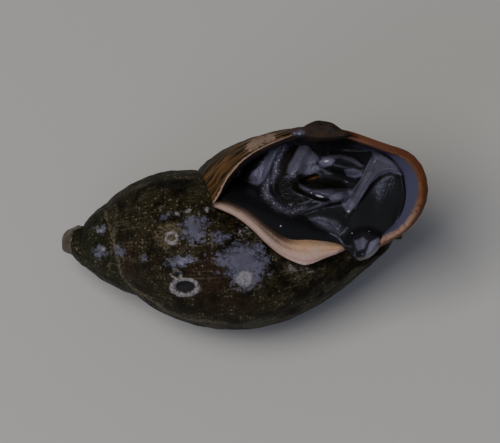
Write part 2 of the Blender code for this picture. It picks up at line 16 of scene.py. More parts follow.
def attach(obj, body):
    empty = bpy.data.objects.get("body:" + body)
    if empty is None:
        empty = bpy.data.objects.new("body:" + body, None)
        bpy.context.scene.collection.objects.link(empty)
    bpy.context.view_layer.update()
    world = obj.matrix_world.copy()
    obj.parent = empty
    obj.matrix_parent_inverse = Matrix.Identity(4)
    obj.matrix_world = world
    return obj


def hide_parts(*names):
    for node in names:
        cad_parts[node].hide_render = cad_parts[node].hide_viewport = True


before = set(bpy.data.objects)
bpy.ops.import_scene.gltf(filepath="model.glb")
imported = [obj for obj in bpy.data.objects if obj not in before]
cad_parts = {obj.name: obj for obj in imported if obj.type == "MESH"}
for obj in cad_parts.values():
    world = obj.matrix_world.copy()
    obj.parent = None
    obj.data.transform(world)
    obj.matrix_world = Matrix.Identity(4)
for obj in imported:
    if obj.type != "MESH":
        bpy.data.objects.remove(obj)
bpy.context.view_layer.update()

MM = 0.001
TINY = 1e-9
# Corners nearer than this are joined, and shorter edges are taken out, in metres
JOIN_REACH = 0.000002
SHORTEST_EDGE = 0.000001


def pairs(*numbers):
    """Points from a row of numbers, two for each point."""
    return np.reshape(numbers, (-1, 2))


# Pose of the shell's frame in the model's frame, as the solids have it
LIFT = math.radians(62.0)
TIP = math.radians(12.0)
SHELL_ORIGIN = (-8.8162, 0.5285, 2.767)
RIGHT = np.array((1.0, 0.0, 0.0))
TOWARD = np.array((0.0, -math.cos(LIFT), math.sin(LIFT)))
SHELL_AXES = np.stack((
    RIGHT * math.cos(TIP) + TOWARD * math.sin(TIP),
    (0.0, math.sin(LIFT), math.cos(LIFT)),
    TOWARD * math.cos(TIP) - RIGHT * math.sin(TIP),
))

# The coil by angle of growth: suture a and radius, widest a and radius, upper roundness,
# base a and lower roundness
GROWTH = np.array((
    (-1110, 0.42, 0.4, 0.72, 0.56, 0.9, 3, 1.1), (-1020, 0.46, 0.56, 1, 0.84, 0.9, 3.5, 1.1),
    (-900, 0.5, 0.74, 1.5, 1.44, 0.9, 4.5, 1.1), (-810, 0.78, 0.82, 2, 1.66, 0.95, 5.6, 1.1),
    (-720, 1.16, 0.9, 2.8, 1.95, 0.98, 6.8, 1.1), (-660, 1.16, 0.98, 3.3, 2.16, 0.95, 7.8, 1.1),
    (-540, 1.04, 1.24, 5, 2.91, 0.96, 10, 1.1), (-450, 1.5, 1.41, 5.43, 3.15, 0.85, 11.4, 1.1),
    (-360, 2.09, 1.7, 6.01, 3.4, 0.9, 12.6, 1.1), (-270, 2.81, 2.09, 7, 3.88, 0.85, 14.4, 1.15),
    (-180, 3.98, 2.77, 8.53, 4.37, 0.8, 15.6, 1.1), (-90, 5.29, 3.1, 9.5, 4.72, 0.85, 16.3, 0.95),
    (0, 6.69, 3.35, 10.3, 5, 0.85, 16.9, 0.75), (62, 8.1, 3.58, 11.5, 5.15, 0.8, 17.2, 0.7),
))
BASE_RADIUS = 0.75
WIDEST_SHARE = 0.45
HEIGHT_ROUNDS = 14
SOLID_END = -75.0

# The free edge of the outer lip as it is seen, with its height, from the join round to the base
LIP_EDGE = np.array((
    (7.28, 1.65, 3.1), (7.66, 2.23, 3.2), (7.95, 2.81, 3.2), (8.63, 3.69, 3.1), (9.6, 4.37, 2.91),
    (10.91, 4.95, 2.62), (12.32, 5.43, 2.33), (13.77, 5.29, 2.04), (15.52, 4.7, 1.75),
    (16.83, 4.22, 1.5), (17.51, 3.4, 1.31), (17.7, 2.43, 1.21), (17.51, 1.5, 1.16),
    (16.88, 0.58, 1.21), (16, 0, 1.31), (15.4, -0.35, 1.46),
))
FLARE_START = 0.35
FLARE_POWER = 2.2

# The columellar lip as seen: its outer and inner edges
RIBBON_OUTER = pairs(
    7.18, 1.66, 7.76, 1.44, 8.46, 1.1, 9.2, 0.52, 9.9, -0.17, 10.62, -0.74, 11.54, -1.16,
    12.03, -1.16, 12.8, -0.85, 13.73, -0.53,
)
RIBBON_INNER = pairs(
    7.76, 1.98, 8.6, 1.72, 9.36, 1.3, 10.12, 0.68, 11, 0.12, 12.03, 0.08, 13, -0.05, 13.9, -0.28,
)


def smooth_step(low, high, value):
    x = np.clip((value - low) / (high - low), 0.0, 1.0)
    return x * x * (3 - 2 * x)


def hermite(start, end, slope_in, slope_out, x):
    """The smooth way from start to end that has the given slopes there."""
    return (
        start * (2 * x**3 - 3 * x**2 + 1)
        + slope_in * (x**3 - 2 * x**2 + x)
        + end * (3 * x**2 - 2 * x**3)
        + slope_out * (x**3 - x**2)
    )


def spline(points, amount):
    """Points at shares of the way along a smooth curve through the given points."""
    count = len(points)
    place = np.clip(amount, 0.0, 1.0) * (count - 1)
    index = np.minimum(place.astype(int), count - 2)
    p0, p1, p2, p3 = (points[np.clip(index + k, 0, count - 1)] for k in (-1, 0, 1, 2))
    return hermite(p1, p2, (p2 - p0) / 2, (p3 - p1) / 2, (place - index)[..., None])


def grown(angle):
    """The measures of the coil at angles of growth."""
    angles = GROWTH[:, 0]
    angle = np.clip(angle, angles[0], angles[-1])
    index = np.clip(np.searchsorted(angles, angle) - 1, 0, len(angles) - 2)
    p0, p1, p2, p3 = (GROWTH[np.clip(index + k, 0, len(angles) - 1)] for k in (-1, 0, 1, 2))
    span = (p2 - p1)[..., :1]
    slope_in = (p2 - p0) / np.maximum(p2 - p0, 1.0)[..., :1] * span
    slope_out = (p3 - p1) / np.maximum(p3 - p1, 1.0)[..., :1] * span
    value = hermite(p1, p2, slope_in, slope_out, (angle[..., None] - p1[..., :1]) / span)
    return np.moveaxis(value[..., 1:], -1, 0)


def outer_radius(angle, a):
    """The radius of a whorl's outer face at places along the axis."""
    suture, suture_r, wide, wide_r, upper, base, lower = grown(angle)
    x = np.clip((wide - a) / (wide - suture), 0.0, 1.0)
    above = suture_r + (wide_r - suture_r) * (1 - x * x) ** upper
    x = np.clip((a - wide) / (base - wide), 0.0, 1.0)
    below = BASE_RADIUS + (wide_r - BASE_RADIUS) * (1 - x * x) ** lower
    return np.where(a <= wide, above, below)


def whorl_point(angle, share):
    """The a and radius of a whorl's outer face, from its suture at share 0 to its base at 1."""
    suture, suture_r, wide, wide_r, upper, base, lower = grown(angle)
    turn = np.clip(share / WIDEST_SHARE, 0.0, 1.0) * math.pi / 2
    high_a = wide - (wide - suture) * np.cos(turn)
    high_r = suture_r + (wide_r - suture_r) * np.sin(turn) ** (2 * upper)
    turn = np.clip((share - WIDEST_SHARE) / (1 - WIDEST_SHARE), 0.0, 1.0) * math.pi / 2
    low_a = wide + (base - wide) * np.sin(turn)
    low_r = BASE_RADIUS + (wide_r - BASE_RADIUS) * np.clip(np.cos(turn), 0, 1) ** (2 * lower)
    upper_part = share < WIDEST_SHARE
    return np.where(upper_part, high_a, low_a), np.where(upper_part, high_r, low_r)


def polar(a, radius, angle):
    turn = np.radians(angle)
    return np.stack((a, radius * np.cos(turn), radius * np.sin(turn)), axis=-1)


def seen(t, u, f):
    """The point at height f that is seen at t along the view and u across it."""
    return np.stack(((t + f * math.sin(TIP)) / math.cos(TIP), u, f), axis=-1)


def view_of(points):
    """Where points are seen: t along the view and u across it."""
    return points[..., 0] * math.cos(TIP) - points[..., 2] * math.sin(TIP), points[..., 1]


def front_height(t, u):
    """The height of the coil's front face where it is seen at t, u, found in rounds."""
    f = np.full(np.shape(t), 3.0)
    for _ in range(HEIGHT_ROUNDS):
        a = seen(t, u, f)[..., 0]
        angle = np.degrees(np.arctan2(f, u))
        radius = outer_radius(angle - 360, a)
        f = 0.5 * f + 0.5 * np.sqrt(np.maximum(radius**2 - u**2, 0.01))
    return f


def placed(points):
    """Shell-frame points in millimetres as model points in metres, none below the floor."""
    points = (points @ SHELL_AXES + SHELL_ORIGIN) * MM
    points[..., 2] = np.maximum(points[..., 2], 0.0)
    return points


# The skin of the shell: columns along growth, rows round the whorl, and its wall
COIL_PACE = pairs(0.0, -1110.0, 0.13, -740.0, 0.37, -360.0, 0.67, -75.0, 1.0, 25.0)
LIP_SPAN = 100.0
SHELL_COLUMNS = 620
OUTER_ROWS = 112
INNER_ROWS = 30
SHELL_WALL = 0.34
LIP_ROUNDING = 0.16
TRIAL_ROWS = 160
HIDDEN_SHARE = 0.60
COLUMELLA_CURL = 0.12
CURL_TAPER = 0.94


def shell_face(station, share, curl):
    """Points of the shell's outer face. A station is the angle of growth up to SOLID_END, and
    then runs on by LIP_SPAN to the free lip; curl turns the base in to the columella."""
    edge = seen(*np.moveaxis(spline(LIP_EDGE, share), -1, 0))
    edge_angle = np.degrees(np.arctan2(edge[..., 2], edge[..., 1]))
    edge_radius = np.hypot(edge[..., 1], edge[..., 2])
    full_a, full_radius = whorl_point(edge_angle, share)
    along = np.clip((station - SOLID_END) / LIP_SPAN, 0.0, 1.0)
    angle = np.where(
        station <= SOLID_END, station, SOLID_END + (edge_angle - SOLID_END) * along
    )
    flare = np.clip((along - FLARE_START) / (1 - FLARE_START), 0.0, 1.0) ** FLARE_POWER
    a, radius = whorl_point(angle, share)
    turned = curl * (1 - smooth_step(0.7, 1.0, along))
    a = a + (edge[..., 0] - full_a) * flare - COLUMELLA_CURL * turned**2
    radius = (radius + (edge_radius - full_radius) * flare) * (1 - CURL_TAPER * turned)
    return polar(a, radius, angle)


def even_rows(station, rows, end_share):
    """Shares at even distances round the whorl, for each station."""
    trial = np.linspace(0, 1, TRIAL_ROWS)[None, :] * end_share[:, None]
    points = shell_face(np.broadcast_to(station[:, None], trial.shape), trial, 0.0)
    length = run_length(points, 1)
    length /= length[:, -1:]
    return np.stack([np.interp(rows, length[k], trial[k]) for k in range(len(station))])


def run_length(points, axis):
    """Distances along a grid from its first row or column."""
    steps = np.linalg.norm(np.diff(points, axis=axis), axis=2)
    first = np.zeros_like(np.take(steps, [0], axis=axis))
    return np.concatenate((first, np.cumsum(steps, axis=axis)), axis=axis)


def unit(vectors):
    return vectors / np.maximum(np.linalg.norm(vectors, axis=-1, keepdims=True), TINY)


def corners(mesh):
    flat = np.empty(len(mesh.vertices) * 3)
    mesh.vertices.foreach_get("co", flat)
    return flat.reshape(-1, 3)


def mesh_of(form, name):
    mesh = bpy.data.meshes.new(name)
    form.to_mesh(mesh)
    form.free()
    return mesh


def closed_piece(mesh):
    """Joins the mesh's meeting edges, faces it outwards and makes it a piece of the scene."""
    form = bmesh.new()
    form.from_mesh(mesh)
    bmesh.ops.remove_doubles(form, verts=form.verts, dist=JOIN_REACH)
    bmesh.ops.dissolve_degenerate(form, edges=form.edges, dist=SHORTEST_EDGE)
    bmesh.ops.recalc_face_normals(form, faces=form.faces)
    for face in form.faces:
        face.smooth = True
    form.to_mesh(mesh)
    form.free()
    piece = bpy.data.objects.new(mesh.name, mesh)
    bpy.context.scene.collection.objects.link(piece)
    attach(piece, "root")
    return piece


def grid_piece(name, places, fields):
    """A closed piece from a grid laid over the columns and rows of places, which are points in
    the shell's frame. Fields over the same grid stay on it by name, for the materials."""
    columns, rows = (count - 1 for count in places.shape[:2])
    form = bmesh.new()
    bmesh.ops.create_grid(form, x_segments=columns, y_segments=rows, size=1.0)
    mesh = mesh_of(form, name)
    flat = corners(mesh)
    column = np.rint((flat[:, 0] + 1) / 2 * columns).astype(int)
    row = np.rint((flat[:, 1] + 1) / 2 * rows).astype(int)
    mesh.vertices.foreach_set("co", placed(places[column, row]).ravel())
    for label, field in fields.items():
        layer = mesh.attributes.new(label, "FLOAT", "POINT")
        layer.data.foreach_set("value", np.ascontiguousarray(field[column, row], dtype=np.float32))
    return closed_piece(mesh)


def there_and_back(there, back, end=1.0):
    """Even steps from 0 to the end, and those on the way back."""
    return np.linspace(0, end, there + 1), np.linspace(end, 0, back + 1)[1:]


# The body in the shell's mouth, as it is seen: t along the view, u across it, heights as f
SKIN_MIDDLE = (12.319, 2.328)
SKIN_COLUMNS = 440
FRONT_ROWS = 150
BACK_ROWS = 14
SKIN_DEPTH = 0.6
# Where the skin meets the inside of the outer lip: share round the lip, and how far along it
LIP_TUCK = pairs(
    0, 0.9, 0.3, 0.86, 0.48, 0.86, 0.54, 0.93, 0.65, 0.93, 0.72, 0.92, 0.9, 0.9, 1, 0.88,
)
LIP_MIDDLE = (12.0, 0.5, 0.5)
FLAP_EDGE = pairs(
    10.719, 5.141, 11.107, 5.311, 11.543, 5.456, 12.028, 5.747, 12.367, 5.869, 12.707, 5.82,
    13.095, 5.747, 13.483, 5.456, 13.822, 5.262, 14.114, 5.093,
)
FLAP_SHARES = (0.34, 0.56)
FLAP_RIM = 2.65
FLAP_TOP = 2.78
BASE_EDGE = pairs(
    15.714, 0.097, 15.52, -0.291, 15.277, -0.679, 14.889, -0.97, 14.453, -1.115, 14.065, -0.97,
    13.822, -0.679,
)
BASE_RISE = 0.6
INNER_TUCK = 0.2
INNER_RISE = 0.05
EDGE_WIDTH = 0.3

RIDGE_LINE = pairs(
    11.64, 5.432, 11.204, 5.141, 10.719, 4.705, 10.379, 4.268, 10.088, 3.638, 9.943, 2.813,
    9.991, 2.328, 10.428, 1.698, 11.058, 1.31, 11.786, 1.504, 12.755, 1.746, 13.483, 1.94,
)
FOOT_SOLE = pairs(
    11.689, 5.189, 11.107, 4.705, 10.719, 4.22, 10.428, 3.589, 10.282, 2.813, 10.379, 2.231,
    10.767, 1.698, 11.252, 1.504, 12.125, 1.794, 12.998, 1.794, 13.677, 1.891, 13.774, 2.425,
    13.483, 2.813, 12.755, 2.91, 11.931, 2.716, 11.543, 3.007, 11.737, 3.88, 12.077, 4.462,
    12.028, 4.85,
)
COLLAR_STRIP = pairs(
    10.912, 5.287, 10.622, 4.899, 10.185, 4.171, 9.894, 3.492, 9.506, 2.91, 9.069, 2.522,
    8.779, 2.474, 8.681, 2.716, 8.973, 3.298, 9.409, 3.977, 9.894, 4.559, 10.331, 5.044,
)
BLUE_CREASE = pairs(
    11.979, 4.705, 12.367, 3.977, 12.513, 3.735, 11.931, 3.492, 11.349, 3.055, 10.864, 3.104,
    11.01, 3.589, 11.446, 4.317,
)
FLAP = pairs(
    10.961, 5.189, 11.543, 5.529, 12.028, 5.869, 12.367, 6.014, 13.095, 5.917, 13.532, 5.578,
    14.162, 5.141, 13.774, 4.899, 13.095, 4.801, 12.125, 4.801, 11.591, 4.947, 11.204, 4.947,
)
TENTACLE_LINE = pairs(
    13.83, 1.31, 14.11, 1.78, 14.46, 2.35, 14.79, 2.98, 15.23, 3.51, 15.8, 3.81, 16.46, 3.66,
    16.82, 3.25,
)
TENTACLE_WIDTHS = (0.13, 0.18, 0.24, 0.30, 0.38, 0.42, 0.36, 0.2)
TENTACLE_HEIGHTS = pairs(0.0, 1.40, 0.5, 1.60, 0.85, 1.50, 1.0, 1.40)
TENTACLE_HOLLOW = 0.12
STRIP_RISE = 0.12
STRIP_SLOPE = 0.10
RIDGE_WIDTH = 0.17
RIDGE_WAVE = 0.02
RIDGE_HEIGHT = 0.44
SHELF_RISE = 0.5
SHELF_HOLLOW = 0.25
RIGHT_RIM = pairs(
    16.46, 3.19, 16.65, 2.54, 16.65, 1.84, 16.46, 1.19, 16.13, 0.6, 15.76, 0.13,
)
SHELF = pairs(
    15.035, 4.268, 15.52, 4.123, 16.587, 3.735, 16.878, 3.104, 16.587, 3.007, 16.199, 3.347,
    15.617, 3.395, 15.132, 3.395, 14.841, 3.638,
)
BASE_FOLD = pairs(
    13.92, 0.194, 14.259, 0.436, 14.744, 0.533, 15.326, 0.291, 15.811, 0, 15.472, -0.679,
    14.938, -1.067, 14.356, -1.261, 13.871, -0.97, 13.677, -0.485,
)
FOLD_HEIGHT = 0.55
MOUTH_LEVEL = 1.2
WALL_COVER = 0.18
WALL_BLEND = 0.12


def line_distance(t, u, line):
    """The distance from places to a line, and how far along it the nearest point is."""
    line = np.array(line)
    best = np.full(t.shape, 1e9)
    place = np.zeros(t.shape)
    for k, step in enumerate(np.diff(line, axis=0)):
        dt, du = t - line[k][0], u - line[k][1]
        x = np.clip((dt * step[0] + du * step[1]) / (step @ step), 0, 1)
        distance = np.hypot(dt - x * step[0], du - x * step[1])
        place = np.where(distance < best, (k + x) / (len(line) - 1), place)
        best = np.minimum(best, distance)
    return best, place


def inside(t, u, outline, soft):
    """1 well inside a closed outline and 0 outside it, with an edge of the given softness."""
    closed = np.array((*outline, outline[0]))
    distance, _ = line_distance(t, u, closed)
    within = np.zeros(t.shape, bool)
    for (t0, u0), (t1, u1) in zip(closed[:-1], closed[1:]):
        if u0 != u1:
            crosses = (u0 > u) != (u1 > u)
            within ^= crosses & (t < (t1 - t0) * (u - u0) / (u1 - u0) + t0)
    return smooth_step(-soft, soft, np.where(within, distance, -distance))


def oval(t, u, centre, size, turn=0.0):
    """The squared distance from an oval's middle, 1 at its edge, for its half sizes and turn."""
    turn = math.radians(turn)
    dt, du = t - centre[0], u - centre[1]
    x = (dt * math.cos(turn) + du * math.sin(turn)) / size[0]
    y = (du * math.cos(turn) - dt * math.sin(turn)) / size[1]
    return x * x + y * y


def bump(t, u, centre, size, turn=0.0):
    """A soft oval rise of height 1."""
    return np.exp(-oval(t, u, centre, size, turn))


def lens(t, u, centre, size, turn=0.0):
    """A smooth lobe with a clear edge, 1 at its middle."""
    return np.clip(1 - oval(t, u, centre, size, turn), 0, 1) ** 0.8


def ridge(t, u, line, width):
    distance, _ = line_distance(t, u, line)
    return np.exp(-((distance / width) ** 2))


# Forms of the body: kind, height, and where it lies
MOUTH_FORMS = (
    (bump, -0.35, (8.779, 2.328), (0.9, 0.7), -50),
    (inside, 0.22, FOOT_SOLE, 0.2),
    (bump, -0.8, (13.483, 4.511), (1.7, 0.36), -4),
    (lens, 0.50, (13.532, 3.686), (1.3, 0.48), -12),
    (bump, -0.14, (13.726, 3.735), (0.55, 0.14), -12),
    (lens, 0.48, (12.61, 2.328), (1.4, 0.42), -13),
    (bump, 0.2, (11.543, 2.571), (0.3, 0.22), -30),
    (ridge, -0.42, ((11.65, 2.83), (11.979, 2.93), (12.3, 3.03)), 0.10),
    (bump, -0.35, (13.726, 2.764), (0.75, 0.38), -10),
    (ridge, 0.20, RIGHT_RIM, 0.22),
    (bump, 0.22, (16.35, 1.3), (0.4, 0.55)),
)
LOW_FORMS = (
    (bump, 0.10, (13.386, 0.679), (0.5, 0.3), -25),
    (ridge, 0.06, ((12.998, 0.146), (13.289, 0.436), (13.532, 0.728)), 0.12),
    (ridge, 0.06, ((13.289, 0.436), (13.483, 0.0), (13.822, -0.194)), 0.12),
    (ridge, 0.14, ((11.349, 0.873), (12.416, 1.164), (13.483, 0.97)), 0.3),
)
FOLD_FORMS = (
    (ridge, 0.12, ((14.065, 0.194), (14.259, -0.291), (14.162, -0.873)), 0.16),
    (ridge, -0.12, ((14.502, 0.34), (14.598, -0.291), (14.502, -0.97)), 0.15),
    (bump, 0.15, (14.987, -0.34), (0.35, 0.55), -30),
)
FLAP_FORMS = (
    (bump, 0.12, (12.416, 5.432), (1.0, 0.3), -5),
    (ridge, 0.05, ((11.2, 5.1), (12.1, 5.55), (13.2, 5.5)), 0.1),
    (ridge, -0.05, ((11.6, 5.0), (12.4, 5.25), (13.5, 5.15)), 0.08),
)


def form_height(t, u, forms):
    """The height of several forms together."""
    return sum(height * form(t, u, *where) for form, height, *where in forms)


def body_height(t, u):
    """The height of the body's skin where it is seen at t, u."""
    f = MOUTH_LEVEL + form_height(t, u, MOUTH_FORMS)
    for outline, level in ((COLLAR_STRIP, 2.6), (BLUE_CREASE, 3.6)):
        f = f + inside(t, u, outline, 0.3) * (STRIP_RISE + STRIP_SLOPE * (u - level))
    edge, place = line_distance(t, u, RIDGE_LINE)
    width = RIDGE_WIDTH + RIDGE_WAVE * np.sin(place * 31) - 0.05 * smooth_step(0.78, 1.0, place)
    height = RIDGE_HEIGHT - 0.30 * smooth_step(0.72, 0.9, place)
    f = f + height * np.exp(-((edge / width) ** 2))
    shelf = inside(t, u, SHELF, 0.2)
    hollow = bump(t, u, (15.3, 1.75), (0.75, 1.1)) * (1 - shelf)
    f = f + SHELF_RISE * shelf - SHELF_HOLLOW * hollow
    edge, place = line_distance(t, u, TENTACLE_LINE)
    width = np.interp(place, np.linspace(0, 1, len(TENTACLE_WIDTHS)), TENTACLE_WIDTHS)
    across = edge / width
    band = 1 - smooth_step(0.7, 1.3, across)
    trough = TENTACLE_HOLLOW * (1 - np.clip(across, 0, 1) ** 2)
    top = np.interp(place, *TENTACLE_HEIGHTS.T)
    f = f * (1 - band) + band * (top - trough) + form_height(t, u, LOW_FORMS)
    wall = front_height(t, u) + WALL_COVER
    f = np.logaddexp(f / WALL_BLEND, wall / WALL_BLEND) * WALL_BLEND
    f = f + inside(t, u, BASE_FOLD, 0.2) * (FOLD_HEIGHT + form_height(t, u, FOLD_FORMS))
    flap = inside(t, u, FLAP, 0.09)
    return f * (1 - flap) + flap * (FLAP_TOP + form_height(t, u, FLAP_FORMS))


def skin_outline():
    """The closed edge of the body's skin, in the shell's frame, in order round it."""
    share = np.linspace(0.0, 1.0, 120)
    along = np.interp(share, *LIP_TUCK.T)
    wall = shell_face(SOLID_END + LIP_SPAN * along, share, np.zeros_like(share))
    wall = wall - 0.5 * SHELL_WALL * unit(wall - np.array(LIP_MIDDLE))
    t, u = FLAP_EDGE.T
    flap = seen(t, u, np.full(t.shape, FLAP_RIM))
    before = wall[share < FLAP_SHARES[0]]
    after = wall[share > FLAP_SHARES[1]]
    t, u = BASE_EDGE.T
    base = seen(t, u, front_height(t, u) + BASE_RISE)
    amount = np.linspace(0.97, 0.03, 40)
    inner, outer = spline(RIBBON_INNER, amount), spline(RIBBON_OUTER, amount)
    t, u = (inner + unit(outer - inner) * INNER_TUCK).T
    under = seen(t, u, front_height(t, u) + INNER_RISE)
    return np.vstack((before, flap, after, base, under))


def skin_points():
    """The skin as rays from its middle out to its edge, and back under itself."""
    outline = skin_outline()
    t, u = view_of(outline)
    middle_t, middle_u = SKIN_MIDDLE
    turn = np.arctan2(u - middle_u, t - middle_t)
    reach = np.hypot(u - middle_u, t - middle_t)
    order = np.argsort(turn)
    rays = np.linspace(-math.pi, math.pi, SKIN_COLUMNS + 1)
    reach, edge_f = (
        np.interp(rays, turn[order], values[order], period=2 * math.pi)[:, None]
        for values in (reach, outline[:, 2])
    )
    front, back = there_and_back(FRONT_ROWS, BACK_ROWS)
    out = np.concatenate((front, back))[None, :]
    under = np.concatenate((np.zeros(FRONT_ROWS + 1), np.sqrt(1 - back**2)))[None, :]
    t = middle_t + np.cos(rays)[:, None] * reach * out
    u = middle_u + np.sin(rays)[:, None] * reach * out
    to_edge = 1 - smooth_step(0.0, EDGE_WIDTH, (1 - out) * reach)
    f = body_height(t, u) * (1 - to_edge) + edge_f * to_edge - SKIN_DEPTH * under
    return seen(t, u, f), t, u


# Marks as they are seen: middle, half sizes, turn, strength
SHELL_MARKS = {
    # Wet patches: the material gives them a coat and a painted bluish-grey reflection
    "wet": (
        (5.05, 1.15, 0.75, 0.2, 20, 0.62), (6.9, 0.9, 0.45, 0.35, -30, 0.6),
        (8.779, -1.067, 1.22, 0.8, -8, 1), (8.924, -1.746, 0.75, 0.62, 0, 1),
        (6.402, 0.485, 0.62, 0.72, 20, 0.9), (7.615, 0.146, 0.52, 0.42, 0, 0.6),
        (5.723, -1.018, 0.78, 0.26, 8, 0.9), (4.026, -0.873, 0.2, 0.26, 0, 0.8),
        (2.764, -0.533, 0.3, 0.34, 40, 0.75), (1.843, -0.582, 0.34, 0.32, 0, 0.85),
        (1.843, 0.533, 0.32, 0.24, 0, 0.75), (9.506, -0.291, 0.55, 0.3, -30, 0.7),
    ),
    "chalk": (
        (8.876, -1.891, 0.42, 0.36, 0, 1), (6.111, 1.407, 0.22, 0.13, 10, 0.75),
        (5.626, 1.261, 0.13, 0.11, 0, 0.7), (7.033, 1.504, 0.14, 0.17, 0, 0.75),
        (4.801, 1.552, 0.12, 0.18, 0, 0.6), (8.681, 0.34, 0.26, 0.24, 0, 0.55),
        (1.794, 0.436, 0.2, 0.09, 20, 0.8), (1.989, -0.436, 0.12, 0.1, 0, 0.9),
        (11.155, -1.358, 0.38, 0.24, -10, 0.55), (11.979, -1.504, 0.3, 0.2, 0, 0.5),
        (5.529, -1.455, 0.26, 0.24, -20, 0.55),
    ),
    "pit": (
        (5.966, -2.28, 0.5, 0.27, 0, 1), (5.578, -1.649, 0.14, 0.12, 0, 0.9),
    ),
    "tan": (
        (5.141, 0.194, 0.75, 0.85, 0, 0.7), (5.335, 0.097, 0.2, 0.2, 0, 1),
        (2.425, -0.242, 0.16, 2.1, -8, 0.55), (11.543, -1.552, 1.5, 0.8, -15, 0.45),
    ),
    "flake": (
        (14.07, -1.75, 0.2, 0.62, -32, 1), (9.6, -4, 0.95, 0.2, 12, 1),
        (13, -2.3, 0.45, 0.16, 35, 0.8), (2.6, 0.45, 0.3, 0.55, 0, 0.6),
    ),
    "warm": (
        (7.033, -1.698, 1.1, 1, 0, 0.9), (4.268, -1.455, 1.2, 0.9, 0, 0.5),
        (8.148, -3.153, 2.4, 0.8, 0, 0.6), (3.201, -1.067, 0.5, 1, 0, 0.7),
    ),
}
WORN_PINK = (
    (9.35, 4.66, 0.5, 0.24, 32, 1), (10.05, 4.95, 0.35, 0.22, 25, 0.9),
)
BODY_MARKS = {
    "orange_and_edge_highlight": (
        # The first mark is the mouth slit's own colour; the second is a painted highlight along
        # the flap's lower edge
        (12.2, 3.01, 0.2, 0.035, 14, 1), (12.58, 4.78, 0.8, 0.035, -3, 0.6),
    ),
    # Small painted glints, white highlights on the wet skin
    "painted_glint": (
        (10.6, 0.68, 0.04, 0.04, 0, 1), (12.48, 2.12, 0.2, 0.045, -16, 1),
        (13.87, 1.39, 0.055, 0.04, 20, 0.9), (14.05, 0.33, 0.04, 0.03, 30, 0.9),
        (14.87, 0.42, 0.03, 0.03, 0, 0.8), (12.08, 2.28, 0.035, 0.035, 0, 0.8),
        (12.81, 3.81, 0.14, 0.05, 10, 0.75),
    ),
}
# Rings: middle, half sizes, width of the ring, strength
CHALK_RINGS = (
    ((5.966, -2.28), (0.6, 0.39), 0.1, 0.95), ((5.335, 0.097), (0.27, 0.26), 0.08, 0.85),
    ((5.578, -1.649), (0.24, 0.22), 0.08, 0.6), ((8.681, 0.34), (0.42, 0.36), 0.08, 0.45),
)
# The pale seam between the whorls
SEAM_LINE = pairs(
    2.05, 1.4, 2.25, 0.78, 2.41, 0.17, 2.55, -0.33, 2.68, -0.93, 2.8, -1.38, 2.95, -1.83,
    3.18, -2.16, 3.64, -2.44, 4.24, -2.84, 5.04, -3.44, 5.74, -3.74, 6.45, -3.9, 7.95, -4.04,
)

# The dotted rim of the mantle, which carries painted reflection and pale painted highlight dots
RIDGE_SHEEN_LINE = pairs(
    11.52, 5.16, 10.99, 4.78, 10.57, 4.31, 10.37, 3.78, 10.28, 3.19, 9.93, 2.66, 9.84, 2.19,
    10.22, 1.84, 10.57, 1.54, 11.16, 1.36, 11.75, 1.54,
)
